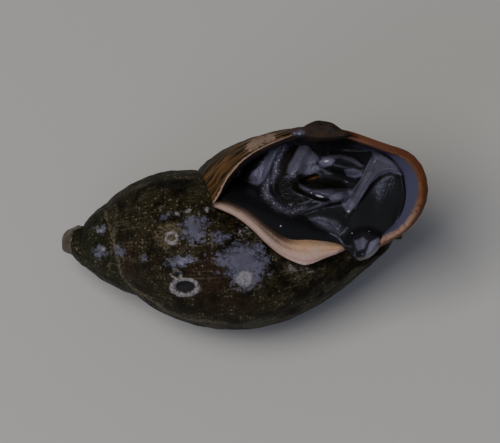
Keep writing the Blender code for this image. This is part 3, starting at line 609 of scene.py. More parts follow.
# Painted reflection on the body, lavender-grey patches: softness of its edge, strength, outline
PAINTED_SHEEN_PATCHES = (
    (0.07, 0.85, pairs(10.4, 4.96, 10.9, 4.92, 10.83, 4.66, 10.51, 4.25, 10.2, 3.72, 9.98, 3.31,
        9.81, 2.9, 9.54, 2.68, 9.22, 2.75, 9.07, 3.01, 9.22, 3.31, 9.54, 3.51, 9.87, 3.9,
        10.1, 4.37, 10.28, 4.78)),
    (0.06, 0.5, pairs(10.9, 3.25, 10.99, 3.66, 11.22, 4.01, 11.46, 4.49, 11.69, 4.72, 11.99, 4.69,
        12.08, 4.37, 12.34, 4.13, 12.46, 3.93, 12.28, 3.66, 11.87, 3.6, 11.52, 3.46, 11.16, 3.13)),
    (0.08, 0.55, pairs(11.46, 3.54, 11.99, 3.63, 12.4, 3.58, 12.52, 3.39, 12.22, 3.27, 11.81, 3.19,
        11.46, 3.23)),
    (0.07, 0.9, pairs(12.43, 3.78, 12.69, 3.96, 13.05, 4, 13.22, 3.86, 13.05, 3.63, 12.69, 3.51,
        12.48, 3.58)),
    (0.06, 0.7, pairs(13.66, 3.39, 14.11, 3.46, 14.48, 3.34, 14.58, 3.11, 14.17, 3.01,
        13.81, 3.11)),
    (0.05, 0.45, pairs(13.05, 4.05, 13.52, 4.1, 14.11, 3.93, 14.58, 3.6, 14.46, 3.51, 14.05, 3.78,
        13.52, 3.96, 13.07, 3.93)),
    (0.07, 0.3, pairs(11.46, 2.78, 11.75, 2.6, 12.11, 2.4, 13.05, 2.48, 13.99, 2.48, 14.11, 2.4,
        13.52, 2.17, 13.05, 2.01, 12.34, 2.13, 11.81, 2.33, 11.52, 2.54)),
    (0.06, 0.75, pairs(12.91, 2.09, 13.4, 2.33, 13.99, 2.4, 14.17, 2.28, 13.75, 2.01, 13.34, 1.84,
        13.05, 1.81)),
    (0.06, 0.35, pairs(13.58, 1.72, 13.99, 2.19, 14.46, 2.84, 14.7, 3.37, 14.96, 3.9, 15.07, 4.25,
        15.7, 4.01, 16.23, 3.66, 16.7, 3.43, 16.46, 3.19, 15.87, 3.31, 15.34, 3.13, 14.87, 2.72,
        14.52, 2.19, 14.17, 1.54, 13.9, 1.25)),
    (0.07, 0.6, pairs(13.54, 1.78, 13.99, 2.07, 14.23, 1.72, 13.99, 1.36, 13.78, 1.36)),
    (0.07, 0.5, pairs(15.03, 4.31, 15.4, 4.19, 15.87, 3.86, 16.7, 3.51, 16.61, 3.19, 16.05, 3.46,
        15.52, 3.72, 15.11, 3.9)),
    (0.12, 0.22, pairs(11.99, 1.07, 12.58, 1.15, 13.28, 0.92, 13.66, 0.6, 13.52, 0.33, 13.05, 0.4,
        12.34, 0.68)),
    (0.05, 0.85, pairs(14.7, -0.66, 14.91, -0.11, 15.31, 0.13, 15.46, -0.05, 15.29, -0.58,
        14.96, -0.99, 14.72, -0.93)),
    (0.07, 0.65, pairs(14.17, -0.05, 14.58, 0.13, 14.79, -0.05, 14.64, -0.4, 14.32, -0.52)),
)
# Lines of brighter painted highlight: half width, strength, line
PAINTED_HIGHLIGHT_LINES = (
    (0.035, 0.75, pairs(13.58, 1.78, 13.99, 2.25, 14.48, 2.9, 14.73, 3.46, 14.96, 3.9)),
    (0.045, 0.85, pairs(14.17, 1.54, 14.56, 2.21, 14.91, 2.75, 15.37, 3.15, 15.87, 3.33,
        16.46, 3.17)),
    (0.03, 0.6, pairs(12.58, 3.98, 13.05, 4.07, 13.52, 4.1, 14.11, 3.93, 14.58, 3.58)),
    (0.03, 0.75, pairs(12.99, 0.33, 13.4, 0.13, 13.81, 0.6)),
    (0.17, 0.65, pairs(16.61, 3.46, 16.94, 2.72, 16.99, 1.84, 16.82, 1.25, 16.46, 0.66,
        16.17, 0.13)),
    (0.03, 0.7, pairs(13.4, 0.13, 13.61, -0.19)),
    (0.05, 0.35, pairs(11.52, 1.31, 12.11, 1.54, 12.81, 1.78, 13.28, 2.01)),
    (0.04, 0.3, pairs(13.05, -0.4, 13.52, -0.29, 13.99, -0.34)),
    (0.03, 0.45, pairs(11.99, 1.01, 12.81, 0.78, 13.52, 0.48)),
    (0.03, 0.5, pairs(11.4, 3.19, 11.81, 3.37, 12.34, 3.46)),
)
HALF_AT_EDGE = 0.69


def marked(t, u, marks):
    """How strongly places lie in soft oval marks: above a half inside them."""
    fields = [
        strength * np.exp(-HALF_AT_EDGE * oval(t, u, (t0, u0), (long, wide), turn))
        for t0, u0, long, wide, turn, strength in marks
    ]
    return np.max(fields, axis=0)


def ringed(t, u, rings):
    """How strongly places lie in soft oval rings."""
    fields = []
    for centre, size, width, strength in rings:
        off = (np.sqrt(oval(t, u, centre, size)) - 1) * min(size) / width
        fields.append(strength * np.exp(-HALF_AT_EDGE * off**2))
    return np.max(fields, axis=0)


def rough(points, octaves, offset):
    """Fractal noise at points, about -1 to 1."""
    values = [
        noise.fractal(Vector(point) + Vector((offset, 0, 0)), 1.0, 2.0, octaves)
        for point in points.reshape(-1, 3)
    ]
    return np.array(values).reshape(points.shape[:-1])


def rough_on(x, y, octaves, offset):
    """Fractal noise over a flat field."""
    return rough(np.stack((x, y, 0 * x), axis=-1), octaves, offset)


ROWS_END = 1.06
CURL_ROWS = 0.06
# Angles of growth: where whorls show whole, the wall gets its thickness, and the tip closes
SHOWN_WHOLE = (-430, -310)
WALL_GROWS = (-700, -300)
TIP_CLOSES = (-1110, -1080)
MARKED_FROM = -800
WAVE_HEIGHT = 0.035
CRUST_HEIGHT = 0.036
RELIEF_SINK = 0.012
PIT_DEPTH = 0.16
RING_HEIGHT = 0.06
SEAM_DEPTH = 0.05
SEAM_WIDTH = 0.12
CHIP_DEPTH = 0.05
CHIP_REACH = 0.25
YOUNG_WALL = 0.45


def shell_coil():
    """The whole coil of the shell in one wall, from the first whorls to the free lip."""
    columns = np.linspace(0, 1, SHELL_COLUMNS + 1)
    station = np.interp(columns, *COIL_PACE.T)
    rows = np.concatenate(there_and_back(OUTER_ROWS, INNER_ROWS, ROWS_END))
    whole = smooth_step(*SHOWN_WHOLE, station)
    end_share = HIDDEN_SHARE + (1 - HIDDEN_SHARE) * whole
    share = even_rows(station, np.minimum(rows, 1.0), end_share)
    curl = np.clip((rows - 1.0) / CURL_ROWS, 0, 1)[None, :] * whole[:, None]
    stations = np.broadcast_to(station[:, None], share.shape)
    points = shell_face(stations, share, curl)
    inner = np.zeros(share.shape, bool)
    inner[:, OUTER_ROWS + 1 :] = True
    normals = unit(np.cross(np.gradient(points, axis=0), np.gradient(points, axis=1)))
    normals = normals * np.where(inner, -1.0, 1.0)[..., None]
    out = np.sum(normals * points * np.array((0.0, 1.0, 1.0)), axis=2)
    normals = normals * np.sign(out[:, : OUTER_ROWS // 2].mean())

    outward = unit(np.gradient(points, axis=0))
    growth = np.broadcast_to(run_length(points, 0)[:, [OUTER_ROWS // 2]], share.shape)
    across = run_length(points, 1)
    lip_run = run_length(points[::-1], 0)[::-1]
    t, u = view_of(points)
    marked_part = (stations > MARKED_FROM) * ~inner
    front = smooth_step(-0.1, 0.25, normals[..., 2]) * marked_part
    rings = ringed(t, u, CHALK_RINGS) * front
    fields = {name: marked(t, u, marks) * front for name, marks in SHELL_MARKS.items()}
    fields |= {
        "growth": growth, "across": across, "lip_run": lip_run, "share": share,
        "inner_side": inner.astype(float),
        "chalk": np.maximum(fields["chalk"], rings),
        "worn_pink": marked(t, u, WORN_PINK) * ~inner,
        "seam": ridge(t, u, SEAM_LINE, 0.07) * front,
        "turns": stations / 360.0,
    }

    lie = smooth_step(0.15, 1.2, lip_run) * smooth_step(0.0, 0.5, across) * ~inner
    relief = WAVE_HEIGHT * rough_on(growth * 1.3, across * 0.16, 3, 3.0)
    relief = (relief + CRUST_HEIGHT * rough(points * 1.7, 4, 11.0) - RELIEF_SINK) * lie
    relief = relief + RING_HEIGHT * rings - PIT_DEPTH * smooth_step(0.35, 0.75, fields["pit"])
    relief = relief - SEAM_DEPTH * np.exp(-((across / SEAM_WIDTH) ** 2)) * marked_part

    wall = SHELL_WALL * (YOUNG_WALL + (1 - YOUNG_WALL) * smooth_step(*WALL_GROWS, stations))
    wall = wall * np.sqrt(1 - (1 - np.clip(lip_run / LIP_ROUNDING, 0, 1)) ** 2)
    wall = wall * smooth_step(*TIP_CLOSES, stations)
    wall = wall * np.sqrt(np.clip(np.minimum(rows, ROWS_END - rows)[None, :] / 0.03, 0, 1))
    chipped = CHIP_DEPTH * rough_on(across * 1.6, 0 * across, 4, 31.0)
    chipped = chipped * np.exp(-((lip_run / CHIP_REACH) ** 2))
    points = points + chipped[..., None] * outward
    points = points + normals * np.where(inner, -wall, relief)[..., None]
    piece = grid_piece("shell_coil", points, fields)
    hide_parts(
        "shell_first_whorls", "shell_spire_whorl", "shell_body_whorl",
        "shell_columella", "shell_last_whorl", "shell_outer_lip",
    )
    return piece


def painted_sheen_on(t, u):
    """How much painted reflection, lavender-grey, lies on the body at each place."""
    films = [strength * inside(t, u, outline, soft) for soft, strength, outline in PAINTED_SHEEN_PATCHES]
    films += [strength * ridge(t, u, line, width) for width, strength, line in PAINTED_HIGHLIGHT_LINES]
    return np.max(films, axis=0)


def evened(points, times):
    """A grid that closes on itself by its columns, smoothed along both directions."""
    for _ in range(times):
        around = np.roll(points, 1, axis=0) + np.roll(points, -1, axis=0)
        points = 0.5 * points + 0.25 * around
        middle = 0.5 * points[:, 1:-1] + 0.25 * (points[:, 2:] + points[:, :-2])
        points = np.concatenate((points[:, :1], middle, points[:, -1:]), axis=1)
    return points


EVENING_ROUNDS = 8
RIM_WIDTH = 0.13
DOT_HEIGHT = 0.020
SKIN_ROUGHNESS = 0.004
UP = np.array((0.0, 0.0, 1.0))


def body_skin():
    """The soft body that fills the shell's mouth, in one skin."""
    points, t, u = skin_points()
    points = evened(points[:-1], EVENING_ROUNDS)
    points = np.concatenate((points, points[:1]), axis=0)
    front = (np.arange(points.shape[1]) <= FRONT_ROWS)[None, :] * np.ones((len(points), 1))
    edge, place = line_distance(t, u, RIDGE_SHEEN_LINE)
    rim = np.exp(-HALF_AT_EDGE * (edge / RIM_WIDTH) ** 2)
    rim = rim * (1 - 0.6 * smooth_step(0.78, 1.0, place))
    lift = DOT_HEIGHT * rough_on(t * 8, u * 8, 2, 5.0) * rim
    lift = (lift + SKIN_ROUGHNESS * rough(points * 2.6, 3, 21.0)) * front
    lift[-1] = lift[0]
    fields = {name: marked(t, u, marks) for name, marks in BODY_MARKS.items()}
    fields |= {
        # Painted reflection: the rim and the listed patches and lines
        "painted_sheen": np.maximum(0.8 * rim, painted_sheen_on(t, u)),
        "dotted": rim,
        "brown": inside(t, u, FLAP, 0.1),
        "sole": inside(t, u, FOOT_SOLE, 0.12),
    }
    fields = {name: field * front for name, field in fields.items()}
    piece = grid_piece("body_skin", points + lift[..., None] * UP, fields)
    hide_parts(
        "mantle", "mantle_collar", "mantle_edge", "mantle_fold_top",
        "mantle_fold_base", "foot", "head", "tentacle",
    )
    return piece


LIP_COLUMNS = 230
LIP_FRONT_ROWS = 44
LIP_BACK_ROWS = 10
LIP_THICKNESS = 0.42
LIP_RISE = 0.30
LIP_CREST = 0.32
LIP_DROP = 0.45
LIP_GROOVE = 0.06
LIP_GRAIN = 0.014


def lip_points():
    """The columellar lip: from its inner edge over its crest to the outer edge, and back below."""
    amount = np.linspace(0, 1, LIP_COLUMNS + 1)
    front, back = there_and_back(LIP_FRONT_ROWS, LIP_BACK_ROWS)
    side = np.concatenate((front, back))[None, :]
    below = np.concatenate((0 * front, np.sqrt(4 * back * (1 - back))))[None, :]
    inner = spline(RIBBON_INNER, amount)[:, None, :]
    outer = spline(RIBBON_OUTER, amount)[:, None, :]
    end = np.sqrt(np.clip(np.minimum(amount / 0.05, (1 - amount) / 0.06), 0, 1))[:, None]
    width = (0.25 + 0.75 * end)[..., None]
    centre = (inner + outer) / 2
    place = centre + ((inner + (outer - inner) * side[..., None]) - centre) * width
    t, u = place[..., 0], place[..., 1]
    rise = LIP_RISE + LIP_CREST * np.sin(math.pi * (0.12 + side * 0.72))
    rise = rise - LIP_DROP * (1 - side) ** 6
    groove = LIP_GROOVE * np.exp(-(((side - 0.42) / 0.09) ** 2))
    groove = groove * smooth_step(0.2, 0.5, amount)[:, None]
    f = front_height(t, u) + (rise - groove - LIP_THICKNESS * below) * end
    return seen(t, u, f), side + 0 * t, amount[:, None] + 0 * t


def columellar_lip():
    points, side, amount = lip_points()
    fine = rough_on(amount * 16, side * 5, 3, 7.0)
    points = points + LIP_GRAIN * fine[..., None] * UP
    fields = {"side": side, "amount": amount}
    piece = grid_piece("columellar_lip", points, fields)
    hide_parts("shell_columellar_lip")
    return piece


# The worn stump of the apex: places along the axis and their radii
APEX_PROFILE = pairs(
    0.03, 0, 0.01, 0.16, 0, 0.3, 0.05, 0.4, 0.12, 0.47, 0.22, 0.55, 0.34, 0.63, 0.46, 0.69,
    0.58, 0.74, 0.72, 0.79, 0.9, 0.8, 1.1, 0.6, 1.2, 0,
)
APEX_STEPS = 46
APEX_SIDES = 96
APEX_SHIFT = -0.1
APEX_WEAR = (0.05, 0.07, 0.07)


def worn_apex():
    form = bmesh.new()
    last = None
    for a, radius in spline(APEX_PROFILE, np.linspace(0, 1, APEX_STEPS)):
        corner = form.verts.new((a, max(radius, 0.0), 0.0))
        if last:
            form.edges.new((last, corner))
        last = corner
    bmesh.ops.spin(
        form, geom=form.verts[:] + form.edges[:], cent=(0, 0, 0), axis=(1, 0, 0),
        angle=2 * math.pi, steps=APEX_SIDES, use_merge=True,
    )
    bmesh.ops.remove_doubles(form, verts=form.verts, dist=0.002)
    for corner in form.verts:
        corner.co += Vector(APEX_WEAR) * noise.fractal(corner.co * 2.4, 1.0, 2.1, 3)
        corner.co.y += APEX_SHIFT
    mesh = mesh_of(form, "worn_apex")
    mesh.vertices.foreach_set("co", placed(corners(mesh)).ravel())
    piece = closed_piece(mesh)
    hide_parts("shell_apex")
    return piece


def math_node(operation):
    """A method that adds a math node, for a value and what it is joined with."""

    def joined(value, *others):
        return value.recipe.sum(operation, value, *others)

    return joined


class Value:
    """A number, colour or vector in a node tree. Sums with it add nodes to the tree."""

    __add__ = math_node("ADD")
    __sub__ = math_node("SUBTRACT")
    __mul__ = math_node("MULTIPLY")
    __lt__ = math_node("LESS_THAN")
    __abs__ = math_node("ABSOLUTE")
    highest = math_node("MAXIMUM")

    def __init__(self, recipe, socket):
        self.recipe, self.socket = recipe, socket

    def step(self, low, high, start=0.0, end=1.0):
        """Runs smoothly from start to end as the value goes from low to high."""
        node = self.recipe.add(
            "ShaderNodeMapRange", {"interpolation_type": "SMOOTHSTEP"},
            Value=self, From_Min=low, From_Max=high, To_Min=start, To_Max=end,
        )
        return Value(self.recipe, node.outputs[0])


class Recipe:
    """A node tree as it is written: each call adds a node and gives back what it makes."""

    def __init__(self, tree):
        self.tree = tree

    def add(self, kind, settings=None, **inputs):
        node = self.tree.nodes.new(kind)
        for name, value in (settings or {}).items():
            setattr(node, name, value)
        for name, value in inputs.items():
            self.feed(node.inputs[name.replace("_", " ")], value)
        return node

    def feed(self, socket, value):
        if isinstance(value, Value):
            self.tree.links.new(value.socket, socket)
        else:
            socket.default_value = value

    def sum(self, operation, *values):
        node = self.add("ShaderNodeMath", {"operation": operation})
        for socket, value in zip(node.inputs, values):
            self.feed(socket, value)
        return Value(self, node.outputs[0])

    def blend(self, amount, first, second):
        node = self.add("ShaderNodeMix", {"data_type": "RGBA"})
        for socket, value in ((0, amount), (6, first), (7, second)):
            self.feed(node.inputs[socket], (*value, 1.0) if isinstance(value, tuple) else value)
        return Value(self, node.outputs[2])

    def layered(self, colour, *layers):
        """A colour with others laid over it in turn, each by its own mask."""
        for mask, other in layers:
            colour = self.blend(mask, colour, other)
        return colour

    def noise(self, vector, scale, detail, roughness):
        node = self.add(
            "ShaderNodeTexNoise", Vector=vector, Scale=scale, Detail=detail, Roughness=roughness
        )
        return Value(self, node.outputs["Fac"])

    def attribute(self, name):
        node = self.add("ShaderNodeAttribute", {"attribute_name": name})
        return Value(self, node.outputs["Fac"])

    def millimetres(self):
        """Object coordinates in millimetres."""
        place = Value(self, self.add("ShaderNodeTexCoord").outputs["Object"])
        node = self.add("ShaderNodeMapping", Vector=place, Scale=(1000, 1000, 1000))
        return Value(self, node.outputs[0])

    def vector(self, x, y):
        return Value(self, self.add("ShaderNodeCombineXYZ", X=x, Y=y).outputs[0])

    def group(self, tree, output, **inputs):
        node = self.add("ShaderNodeGroup", {"node_tree": tree}, **inputs)
        return Value(self, node.outputs[output])


def effect(name, inputs, outputs):
    """A new shader node group with named inputs and outputs. No value means a vector."""
    tree = bpy.data.node_groups.new(name, "ShaderNodeTree")
    recipe = Recipe(tree)
    for label, value in inputs.items():
        kind = "NodeSocketVector" if value is None else "NodeSocketFloat"
        socket = tree.interface.new_socket(label, in_out="INPUT", socket_type=kind)
        if value is not None:
            socket.default_value = value
    for label in outputs:
        tree.interface.new_socket(label, in_out="OUTPUT", socket_type="NodeSocketFloat")
    start = tree.nodes.new("NodeGroupInput").outputs
    end = tree.nodes.new("NodeGroupOutput").inputs
    return recipe, end, *(Value(recipe, start[label]) for label in inputs)


def ragged_edge():
    """Turns a soft field into a patch with an uneven edge."""
    recipe, end, field, vector, size, unevenness, softness = effect(
        "ragged_edge",
        {"Field": 0.0, "Vector": None, "Size": 4.0, "Unevenness": 0.5, "Softness": 0.06},
        ("Mask",),
    )
    field = field + (recipe.noise(vector, size, 5.0, 0.65) - 0.5) * unevenness
    recipe.feed(end["Mask"], field.step(softness * -1.0 + 0.5, softness + 0.5))
    return recipe.tree


def growth_lines():
    """Fine lines that follow the growing edge of the shell."""
    recipe, end, growth, across, fineness = effect(
        "growth_lines", {"Growth": 0.0, "Across": 0.0, "Fineness": 9.0}, ("Line", "Height")
    )
    across = across * 0.35
    along = growth * fineness
    fine = recipe.noise(recipe.vector(along, across), 1.0, 3.0, 0.6)
    broad = recipe.noise(recipe.vector(along * 0.23, across), 1.0, 2.0, 0.55)
    recipe.feed(end["Line"], fine.step(0.52, 0.68))
    recipe.feed(end["Height"], fine * 0.6 + broad)
    return recipe.tree


def specks():
    """Scattered small grains."""
    recipe, end, vector, size, amount = effect(
        "specks", {"Vector": None, "Size": 8.0, "Amount": 0.3}, ("Mask",)
    )
    cell = recipe.add("ShaderNodeTexVoronoi", Vector=vector, Scale=size).outputs
    shade = recipe.add("ShaderNodeSeparateColor", Color=Value(recipe, cell["Color"]))
    near = Value(recipe, cell["Distance"]).step(0.22, 0.38, 1.0, 0.0)
    recipe.feed(end["Mask"], (Value(recipe, shade.outputs[0]) < amount) * near)
    return recipe.tree


def new_surface(name):
    """A material, and the recipe of its node tree."""
    stuff = bpy.data.materials.new(name)
    stuff.use_nodes = True
    return stuff, Recipe(stuff.node_tree)


def finish_surface(recipe, colour, roughness, specular, height, depth):
    """Feeds the material's shader; its relief is the height times a depth in metres."""
    shader = recipe.tree.nodes["Principled BSDF"].inputs
    relief = recipe.add("ShaderNodeBump", Height=height, Distance=depth)
    recipe.feed(shader["Base Color"], colour)
    recipe.feed(shader["Roughness"], roughness)
    recipe.feed(shader["Specular IOR Level"], specular)
    recipe.feed(shader["Normal"], Value(recipe, relief.outputs[0]))
    return shader


# Colours, linear: the crust, the lip, the worn apex and the body
CRUST_DARK = (0.004, 0.003, 0.001)
CRUST_OLIVE = (0.030, 0.025, 0.010)
CRUST_BROWN = (0.027, 0.015, 0.007)
CRUST_GREEN = (0.017, 0.019, 0.008)
CRUST_GRAIN = (0.135, 0.118, 0.080)
# Bluish-grey painted reflection on the crust's wet patches
PAINTED_SHEEN_GREY = (0.105, 0.103, 0.150)
CHALK = (0.25, 0.235, 0.24)
PIT_GREY = (0.016, 0.016, 0.018)
TAN_CRUST = (0.13, 0.105, 0.065)
FLAKE_GREY = (0.060, 0.068, 0.045)
LIP_BROWN = (0.13, 0.065, 0.020)
LIP_ORANGE = (0.16, 0.068, 0.022)
LIP_RED = (0.080, 0.028, 0.013)
LIP_TAN = (0.14, 0.090, 0.055)
LIP_PINK = (0.30, 0.20, 0.15)
INSIDE_DARK = (0.012, 0.010, 0.010)
# Lavender painted reflection on the lining inside the lip
INSIDE_PAINTED_SHEEN = (0.050, 0.049, 0.085)
RIBBON_PINK = (0.33, 0.23, 0.185)
RIBBON_TAN = (0.50, 0.31, 0.19)
RIBBON_END = (0.46, 0.31, 0.26)
RIBBON_RED = (0.20, 0.075, 0.035)
RIBBON_DARK = (0.075, 0.045, 0.032)
RIBBON_PALE = (0.42, 0.35, 0.33)
APEX_BROWN = (0.050, 0.042, 0.030)
APEX_PALE = (0.14, 0.11, 0.085)
BODY_BLACK = (0.0085, 0.0088, 0.0100)
# Lavender-grey painted reflection on the body
BODY_PAINTED_SHEEN = (0.118, 0.112, 0.165)
# Pale painted highlight dots on the body's rim
DOT_GLINT_PALE = (0.50, 0.48, 0.52)
BODY_BROWN = (0.030, 0.018, 0.010)
SOLE_BROWN = (0.006, 0.005, 0.0035)
# Mouth slit colour, also used for a painted highlight along the flap's edge
MOUTH_ORANGE_AND_HIGHLIGHT = (0.14, 0.055, 0.015)
# White painted glints on the wet skin
GLINT_WHITE = (0.50, 0.50, 0.58)
FLOOR_GREY = (0.42, 0.42, 0.405)
ROOM_GREY = (0.13, 0.135, 0.155)
# Strengths of the plain reflection
SHELL_GLEAM = 0.12
SMOOTH_GLEAM = 0.4
BODY_GLEAM = 0.35
# Depths of the fine relief, in metres
SHELL_GRAIN = 0.00004
APEX_GRAIN = 0.00006
BODY_GRAIN = 0.00002


def shell_crust(lines, patch, grains):
    """The outside of the shell: olive crust, wet patches whose bluish-grey colour is a painted
    reflection, worn rings, and the bare lip, with a painted lavender reflection inside it.
    """
    stuff, recipe = new_surface("shell_crust")
    place = recipe.millimetres()
    names = ("growth", "across", "lip_run", "inner_side", "share", "turns", "seam", "wet")
    growth, across, run, inner, share, turns, seam, wet = map(recipe.attribute, names)
    growing = {"Growth": growth, "Across": across, "Fineness": 9.0}
    cloud = recipe.noise(place, 1.1, 5.0, 0.65)
    fine = recipe.noise(place, 8.5, 4.0, 0.7)

    def worn(name, size, unevenness, softness):
        sizes = {"Size": size, "Unevenness": unevenness, "Softness": softness}
        return recipe.group(patch, "Mask", Field=recipe.attribute(name), Vector=place, **sizes)

    seam = across.step(0.04, 0.16, 1.0, 0.0).highest(seam)
    flecks = recipe.noise(place, 5.0, 5.0, 0.75).step(0.58, 0.68)
    grain = recipe.group(grains, "Mask", Vector=place, Size=6.5, Amount=0.22)
    grain = grain * cloud.step(0.42, 0.58, 0.15, 0.9)
    gaps = recipe.noise(place, 4.2, 5.0, 0.75).step(0.38, 0.58, 0.15, 1.0)
    wet = worn("wet", 4.0, 1.7, 0.16) * gaps.highest(wet.step(0.66, 0.9, 0.0, 0.8))
    line = recipe.group(lines, "Line", **growing)
    crust = recipe.layered(
        CRUST_DARK,
        (cloud.step(0.36, 0.62), CRUST_OLIVE),
        (turns.step(-1.6, -0.8, 0.75, 0.0), CRUST_GREEN),
        (worn("warm", 2.4, 1.1, 0.2), CRUST_BROWN),
        (worn("tan", 3.0, 1.1, 0.2) * 0.7, TAN_CRUST),
        (seam * fine.step(0.36, 0.60, 0.15, 0.9), TAN_CRUST),
        (worn("flake", 2.0, 0.7, 0.06) * 0.6, FLAKE_GREY),
        (line * cloud.step(0.42, 0.6, 0.0, 0.5), CRUST_GRAIN),
        (fine.step(0.38, 0.58, 0.85, 0.0), CRUST_DARK),
        (flecks * cloud.step(0.42, 0.58, 0.12, 0.85), CRUST_GRAIN),
        (grain, CRUST_GRAIN),
        # Painted reflection on the wet patches
        (wet * 0.85, PAINTED_SHEEN_GREY),
        (worn("chalk", 4.5, 1.3, 0.2) * fine.step(0.36, 0.60, 0.25, 0.95), CHALK),
        (worn("pit", 2.0, 0.2, 0.1), PIT_GREY),
    )

    stripe = recipe.noise(recipe.vector(run * 4.5, across * 0.5), 1.0, 3.0, 0.6)
    pale = (run + fine * 0.3).step(0.22, 0.36, 1.0, 0.0)
    worn_pink = worn("worn_pink", 4.5, 1.5, 0.2) * fine.step(0.34, 0.56, 0.3, 1.0)
    bare_lip = recipe.layered(
        CRUST_DARK, (stripe.step(0.38, 0.62), LIP_BROWN), (pale.highest(worn_pink), LIP_PINK)
    )
    # Lavender painted reflection on the lining inside the lip
    painted_sheen = (share + cloud * 0.3).step(0.62, 0.76)
    depth = run + fine * 0.4 - share.step(0.33, 0.55, 0.05, 0.50)
    inside_lip = recipe.layered(
        LIP_RED,
        (stripe.step(0.35, 0.65), LIP_ORANGE),
        (run.step(0.1, 0.7, 0.0, 0.55), LIP_TAN),
        (share.step(0.74, 0.90) * 0.7, LIP_PINK),
        (recipe.noise(place, 5.5, 4.0, 0.7).step(0.50, 0.64, 0.0, 0.75), LIP_RED),
        ((run + fine * 0.25).step(0.16, 0.34, 0.8, 0.0), LIP_RED),
        (depth.step(-0.05, 0.2), recipe.blend(painted_sheen, INSIDE_DARK, INSIDE_PAINTED_SHEEN)),
    )
    bare = (run + (cloud - 0.5) * 2.4).step(2.0, 3.2, 1.0, 0.0)
    colour = recipe.layered(crust, (bare, bare_lip), (inner, inside_lip))
    height = recipe.group(lines, "Height", **growing) * 0.5 + fine + grain * 0.4
    roughness = fine.step(0.3, 0.7, 0.42, 0.65)
    shader = finish_surface(recipe, colour, roughness, SHELL_GLEAM, height, SHELL_GRAIN)
    recipe.feed(shader["Coat Weight"], (wet * 0.7).highest(inner * 0.15))
    recipe.feed(shader["Coat Roughness"], 0.22)
    return stuff


def ribbon_shell(lines, grains):
    """The smooth pinkish shell of the columellar lip, tan in its hollow and pale at its rim; a
    pale stripe across it is a painted highlight, and painted shade darkens its outer edge below
    the crest.
    """
    stuff, recipe = new_surface("ribbon_shell")
    place = recipe.millimetres()
    side, amount = recipe.attribute("side"), recipe.attribute("amount")
    growing = {"Growth": side * 2.0, "Across": amount, "Fineness": 5.0}
    reach = side + (recipe.noise(place, 1.6, 4.0, 0.6) - 0.5) * 0.35
    # A pale stripe across the lip, a painted highlight
    highlight_streak = abs(amount + side * 0.16 - 0.84)
    grain = recipe.group(grains, "Mask", Vector=place, Size=6.0, Amount=0.1)
    colour = recipe.layered(
        RIBBON_DARK,
        (reach.step(0.05, 0.75), RIBBON_PINK),
        # Darker at the outer edge below the crest: painted shade
        (side.step(0.84, 1.0, 0.0, 0.6), RIBBON_DARK),
        (amount.step(0.48, 0.66), recipe.blend(reach.step(0.25, 0.80), RIBBON_TAN, RIBBON_END)),
        # The painted highlight stripe
        (highlight_streak.step(0.0, 0.07, 0.3, 0.0), RIBBON_PALE),
        (recipe.group(lines, "Line", **growing) * 0.35, RIBBON_RED),
        (amount.step(0.0, 0.10, 0.6, 0.0), CRUST_BROWN),
        (grain * 0.3, RIBBON_PALE),
    )
    height = recipe.noise(place, 6.0, 4.0, 0.6) + recipe.group(lines, "Height", **growing)
    finish_surface(recipe, colour, 0.36, SMOOTH_GLEAM, height, SHELL_GRAIN)
    return stuff


def apex_stump(grains):
    """The worn first whorl, greyish brown."""
    stuff, recipe = new_surface("apex_stump")
    place = recipe.millimetres()
    cloud = recipe.noise(place, 2.4, 5.0, 0.65)
    grain = recipe.group(grains, "Mask", Vector=place, Size=7.0, Amount=0.2)
    colour = recipe.layered(
        APEX_BROWN, (cloud.step(0.42, 0.68), APEX_PALE), (grain * 0.6, CRUST_DARK)
    )
    height = recipe.noise(place, 5.0, 5.0, 0.65)
    finish_surface(recipe, colour, 0.35, SMOOTH_GLEAM, height, APEX_GRAIN)
    return stuff


def wet_body(grains):
    """The wet black skin, with lavender-grey painted reflection, pale painted highlight dots on
    its rim, and small painted glints.
    """
    stuff, recipe = new_surface("wet_body")
    place = recipe.millimetres()
    cloud = recipe.noise(place, 2.6, 4.0, 0.6)
    names = ("sole", "brown", "painted_sheen", "dotted", "orange_and_edge_highlight", "painted_glint")
    sole, flap, painted_sheen, rim, orange_and_edge_highlight, painted_glint = map(recipe.attribute, names)
    flap_colour = recipe.blend(cloud.step(0.36, 0.62, 0.25, 1.0), BODY_BLACK, BODY_BROWN)
    dots = rim * recipe.group(grains, "Mask", Vector=place, Size=9.0, Amount=0.5)
    gaps = recipe.noise(place, 8.0, 2.0, 0.5).step(0.52, 0.60) * rim
    colour = recipe.layered(
        BODY_BLACK,
        (sole, SOLE_BROWN),
        (flap, flap_colour),
        # Painted reflection
        (painted_sheen * cloud.step(0.32, 0.50, 0.7, 1.0), BODY_PAINTED_SHEEN),
        # Pale dots on the rim: painted highlights over its real grain
        (dots, DOT_GLINT_PALE),
        (gaps * 0.6, BODY_BLACK),
        # Mouth slit colour, and a painted highlight on the flap's edge
        (orange_and_edge_highlight, MOUTH_ORANGE_AND_HIGHLIGHT),
        # Painted glints
        (painted_glint.step(0.35, 0.65) * 0.8, GLINT_WHITE),
    )
    roughness = cloud.step(0.3, 0.7, 0.16, 0.26) + flap * 0.5
    height = recipe.noise(place, 9.0, 3.0, 0.5) + dots
    finish_surface(recipe, colour, roughness, BODY_GLEAM, height, BODY_GRAIN)
    return stuff


def studio_floor():
    """A plain pale floor."""
    stuff, recipe = new_surface("studio_floor")
    shader = recipe.tree.nodes["Principled BSDF"].inputs
    recipe.feed(shader["Base Color"], (*FLOOR_GREY, 1.0))
    recipe.feed(shader["Roughness"], 0.8)
    return stuff


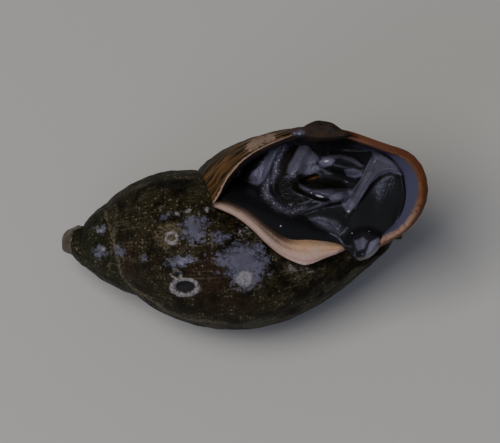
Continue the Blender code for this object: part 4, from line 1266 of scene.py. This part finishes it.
def aimed(name, kind, aim, direction, distance):
    """A lamp or camera in the scene at a distance from the aim, facing it."""
    thing = bpy.data.objects.new(name, kind)
    way = Vector(direction).normalized()
    thing.location = aim + way * distance
    thing.rotation_euler = (-way).to_track_quat("-Z", "Y").to_euler()
    bpy.context.scene.collection.objects.link(thing)
    return thing


def soft_light(name, aim, direction, distance, size, power, colour):
    """A square soft light."""
    lamp = bpy.data.lights.new(name, "AREA")
    lamp.shape = "SQUARE"
    lamp.size = size
    lamp.energy = power
    lamp.color = colour
    return aimed(name, lamp, aim, direction, distance)


AIM = (9.118, 0.897, 1.0)
CAMERA_DISTANCE = 0.404
CAMERA_LENS = 600.0
SENSOR_WIDTH = 36.0
CLIP = (0.01, 10.0)
FLOOR_SIZE = 1.2
# Lights: the way to them, distance, size, power and colour
SKY = ((-0.38, -0.755, 0.527), 0.12, 0.045, 0.028, (0.70, 0.72, 1.0))
KEY = ((-0.35, -0.25, 0.90), 0.3, 0.18, 0.75, (1.0, 0.96, 0.90))

lines, patch, grains = growth_lines(), ragged_edge(), specks()
shell_coil().data.materials.append(shell_crust(lines, patch, grains))
body_skin().data.materials.append(wet_body(grains))
columellar_lip().data.materials.append(ribbon_shell(lines, grains))
worn_apex().data.materials.append(apex_stump(grains))

bpy.ops.mesh.primitive_plane_add(size=FLOOR_SIZE)
floor = bpy.context.object
floor.name = "floor"
floor.data.materials.append(studio_floor())

world = bpy.data.worlds.new("room")
bpy.context.scene.world = world
world.use_nodes = True
world.node_tree.nodes["Background"].inputs["Color"].default_value = (*ROOM_GREY, 1.0)

# The camera is square to the opening of the shell
aim = Vector(placed(seen(*np.array(AIM))))
view_lens = bpy.data.cameras.new("camera")
view_lens.lens = CAMERA_LENS
view_lens.sensor_width = SENSOR_WIDTH
view_lens.clip_start, view_lens.clip_end = CLIP
bpy.context.scene.camera = aimed("camera", view_lens, aim, TOWARD, CAMERA_DISTANCE)
soft_light("sky_panel", aim, *SKY)
key = soft_light("key_panel", aim, *KEY)
key.visible_glossy = False
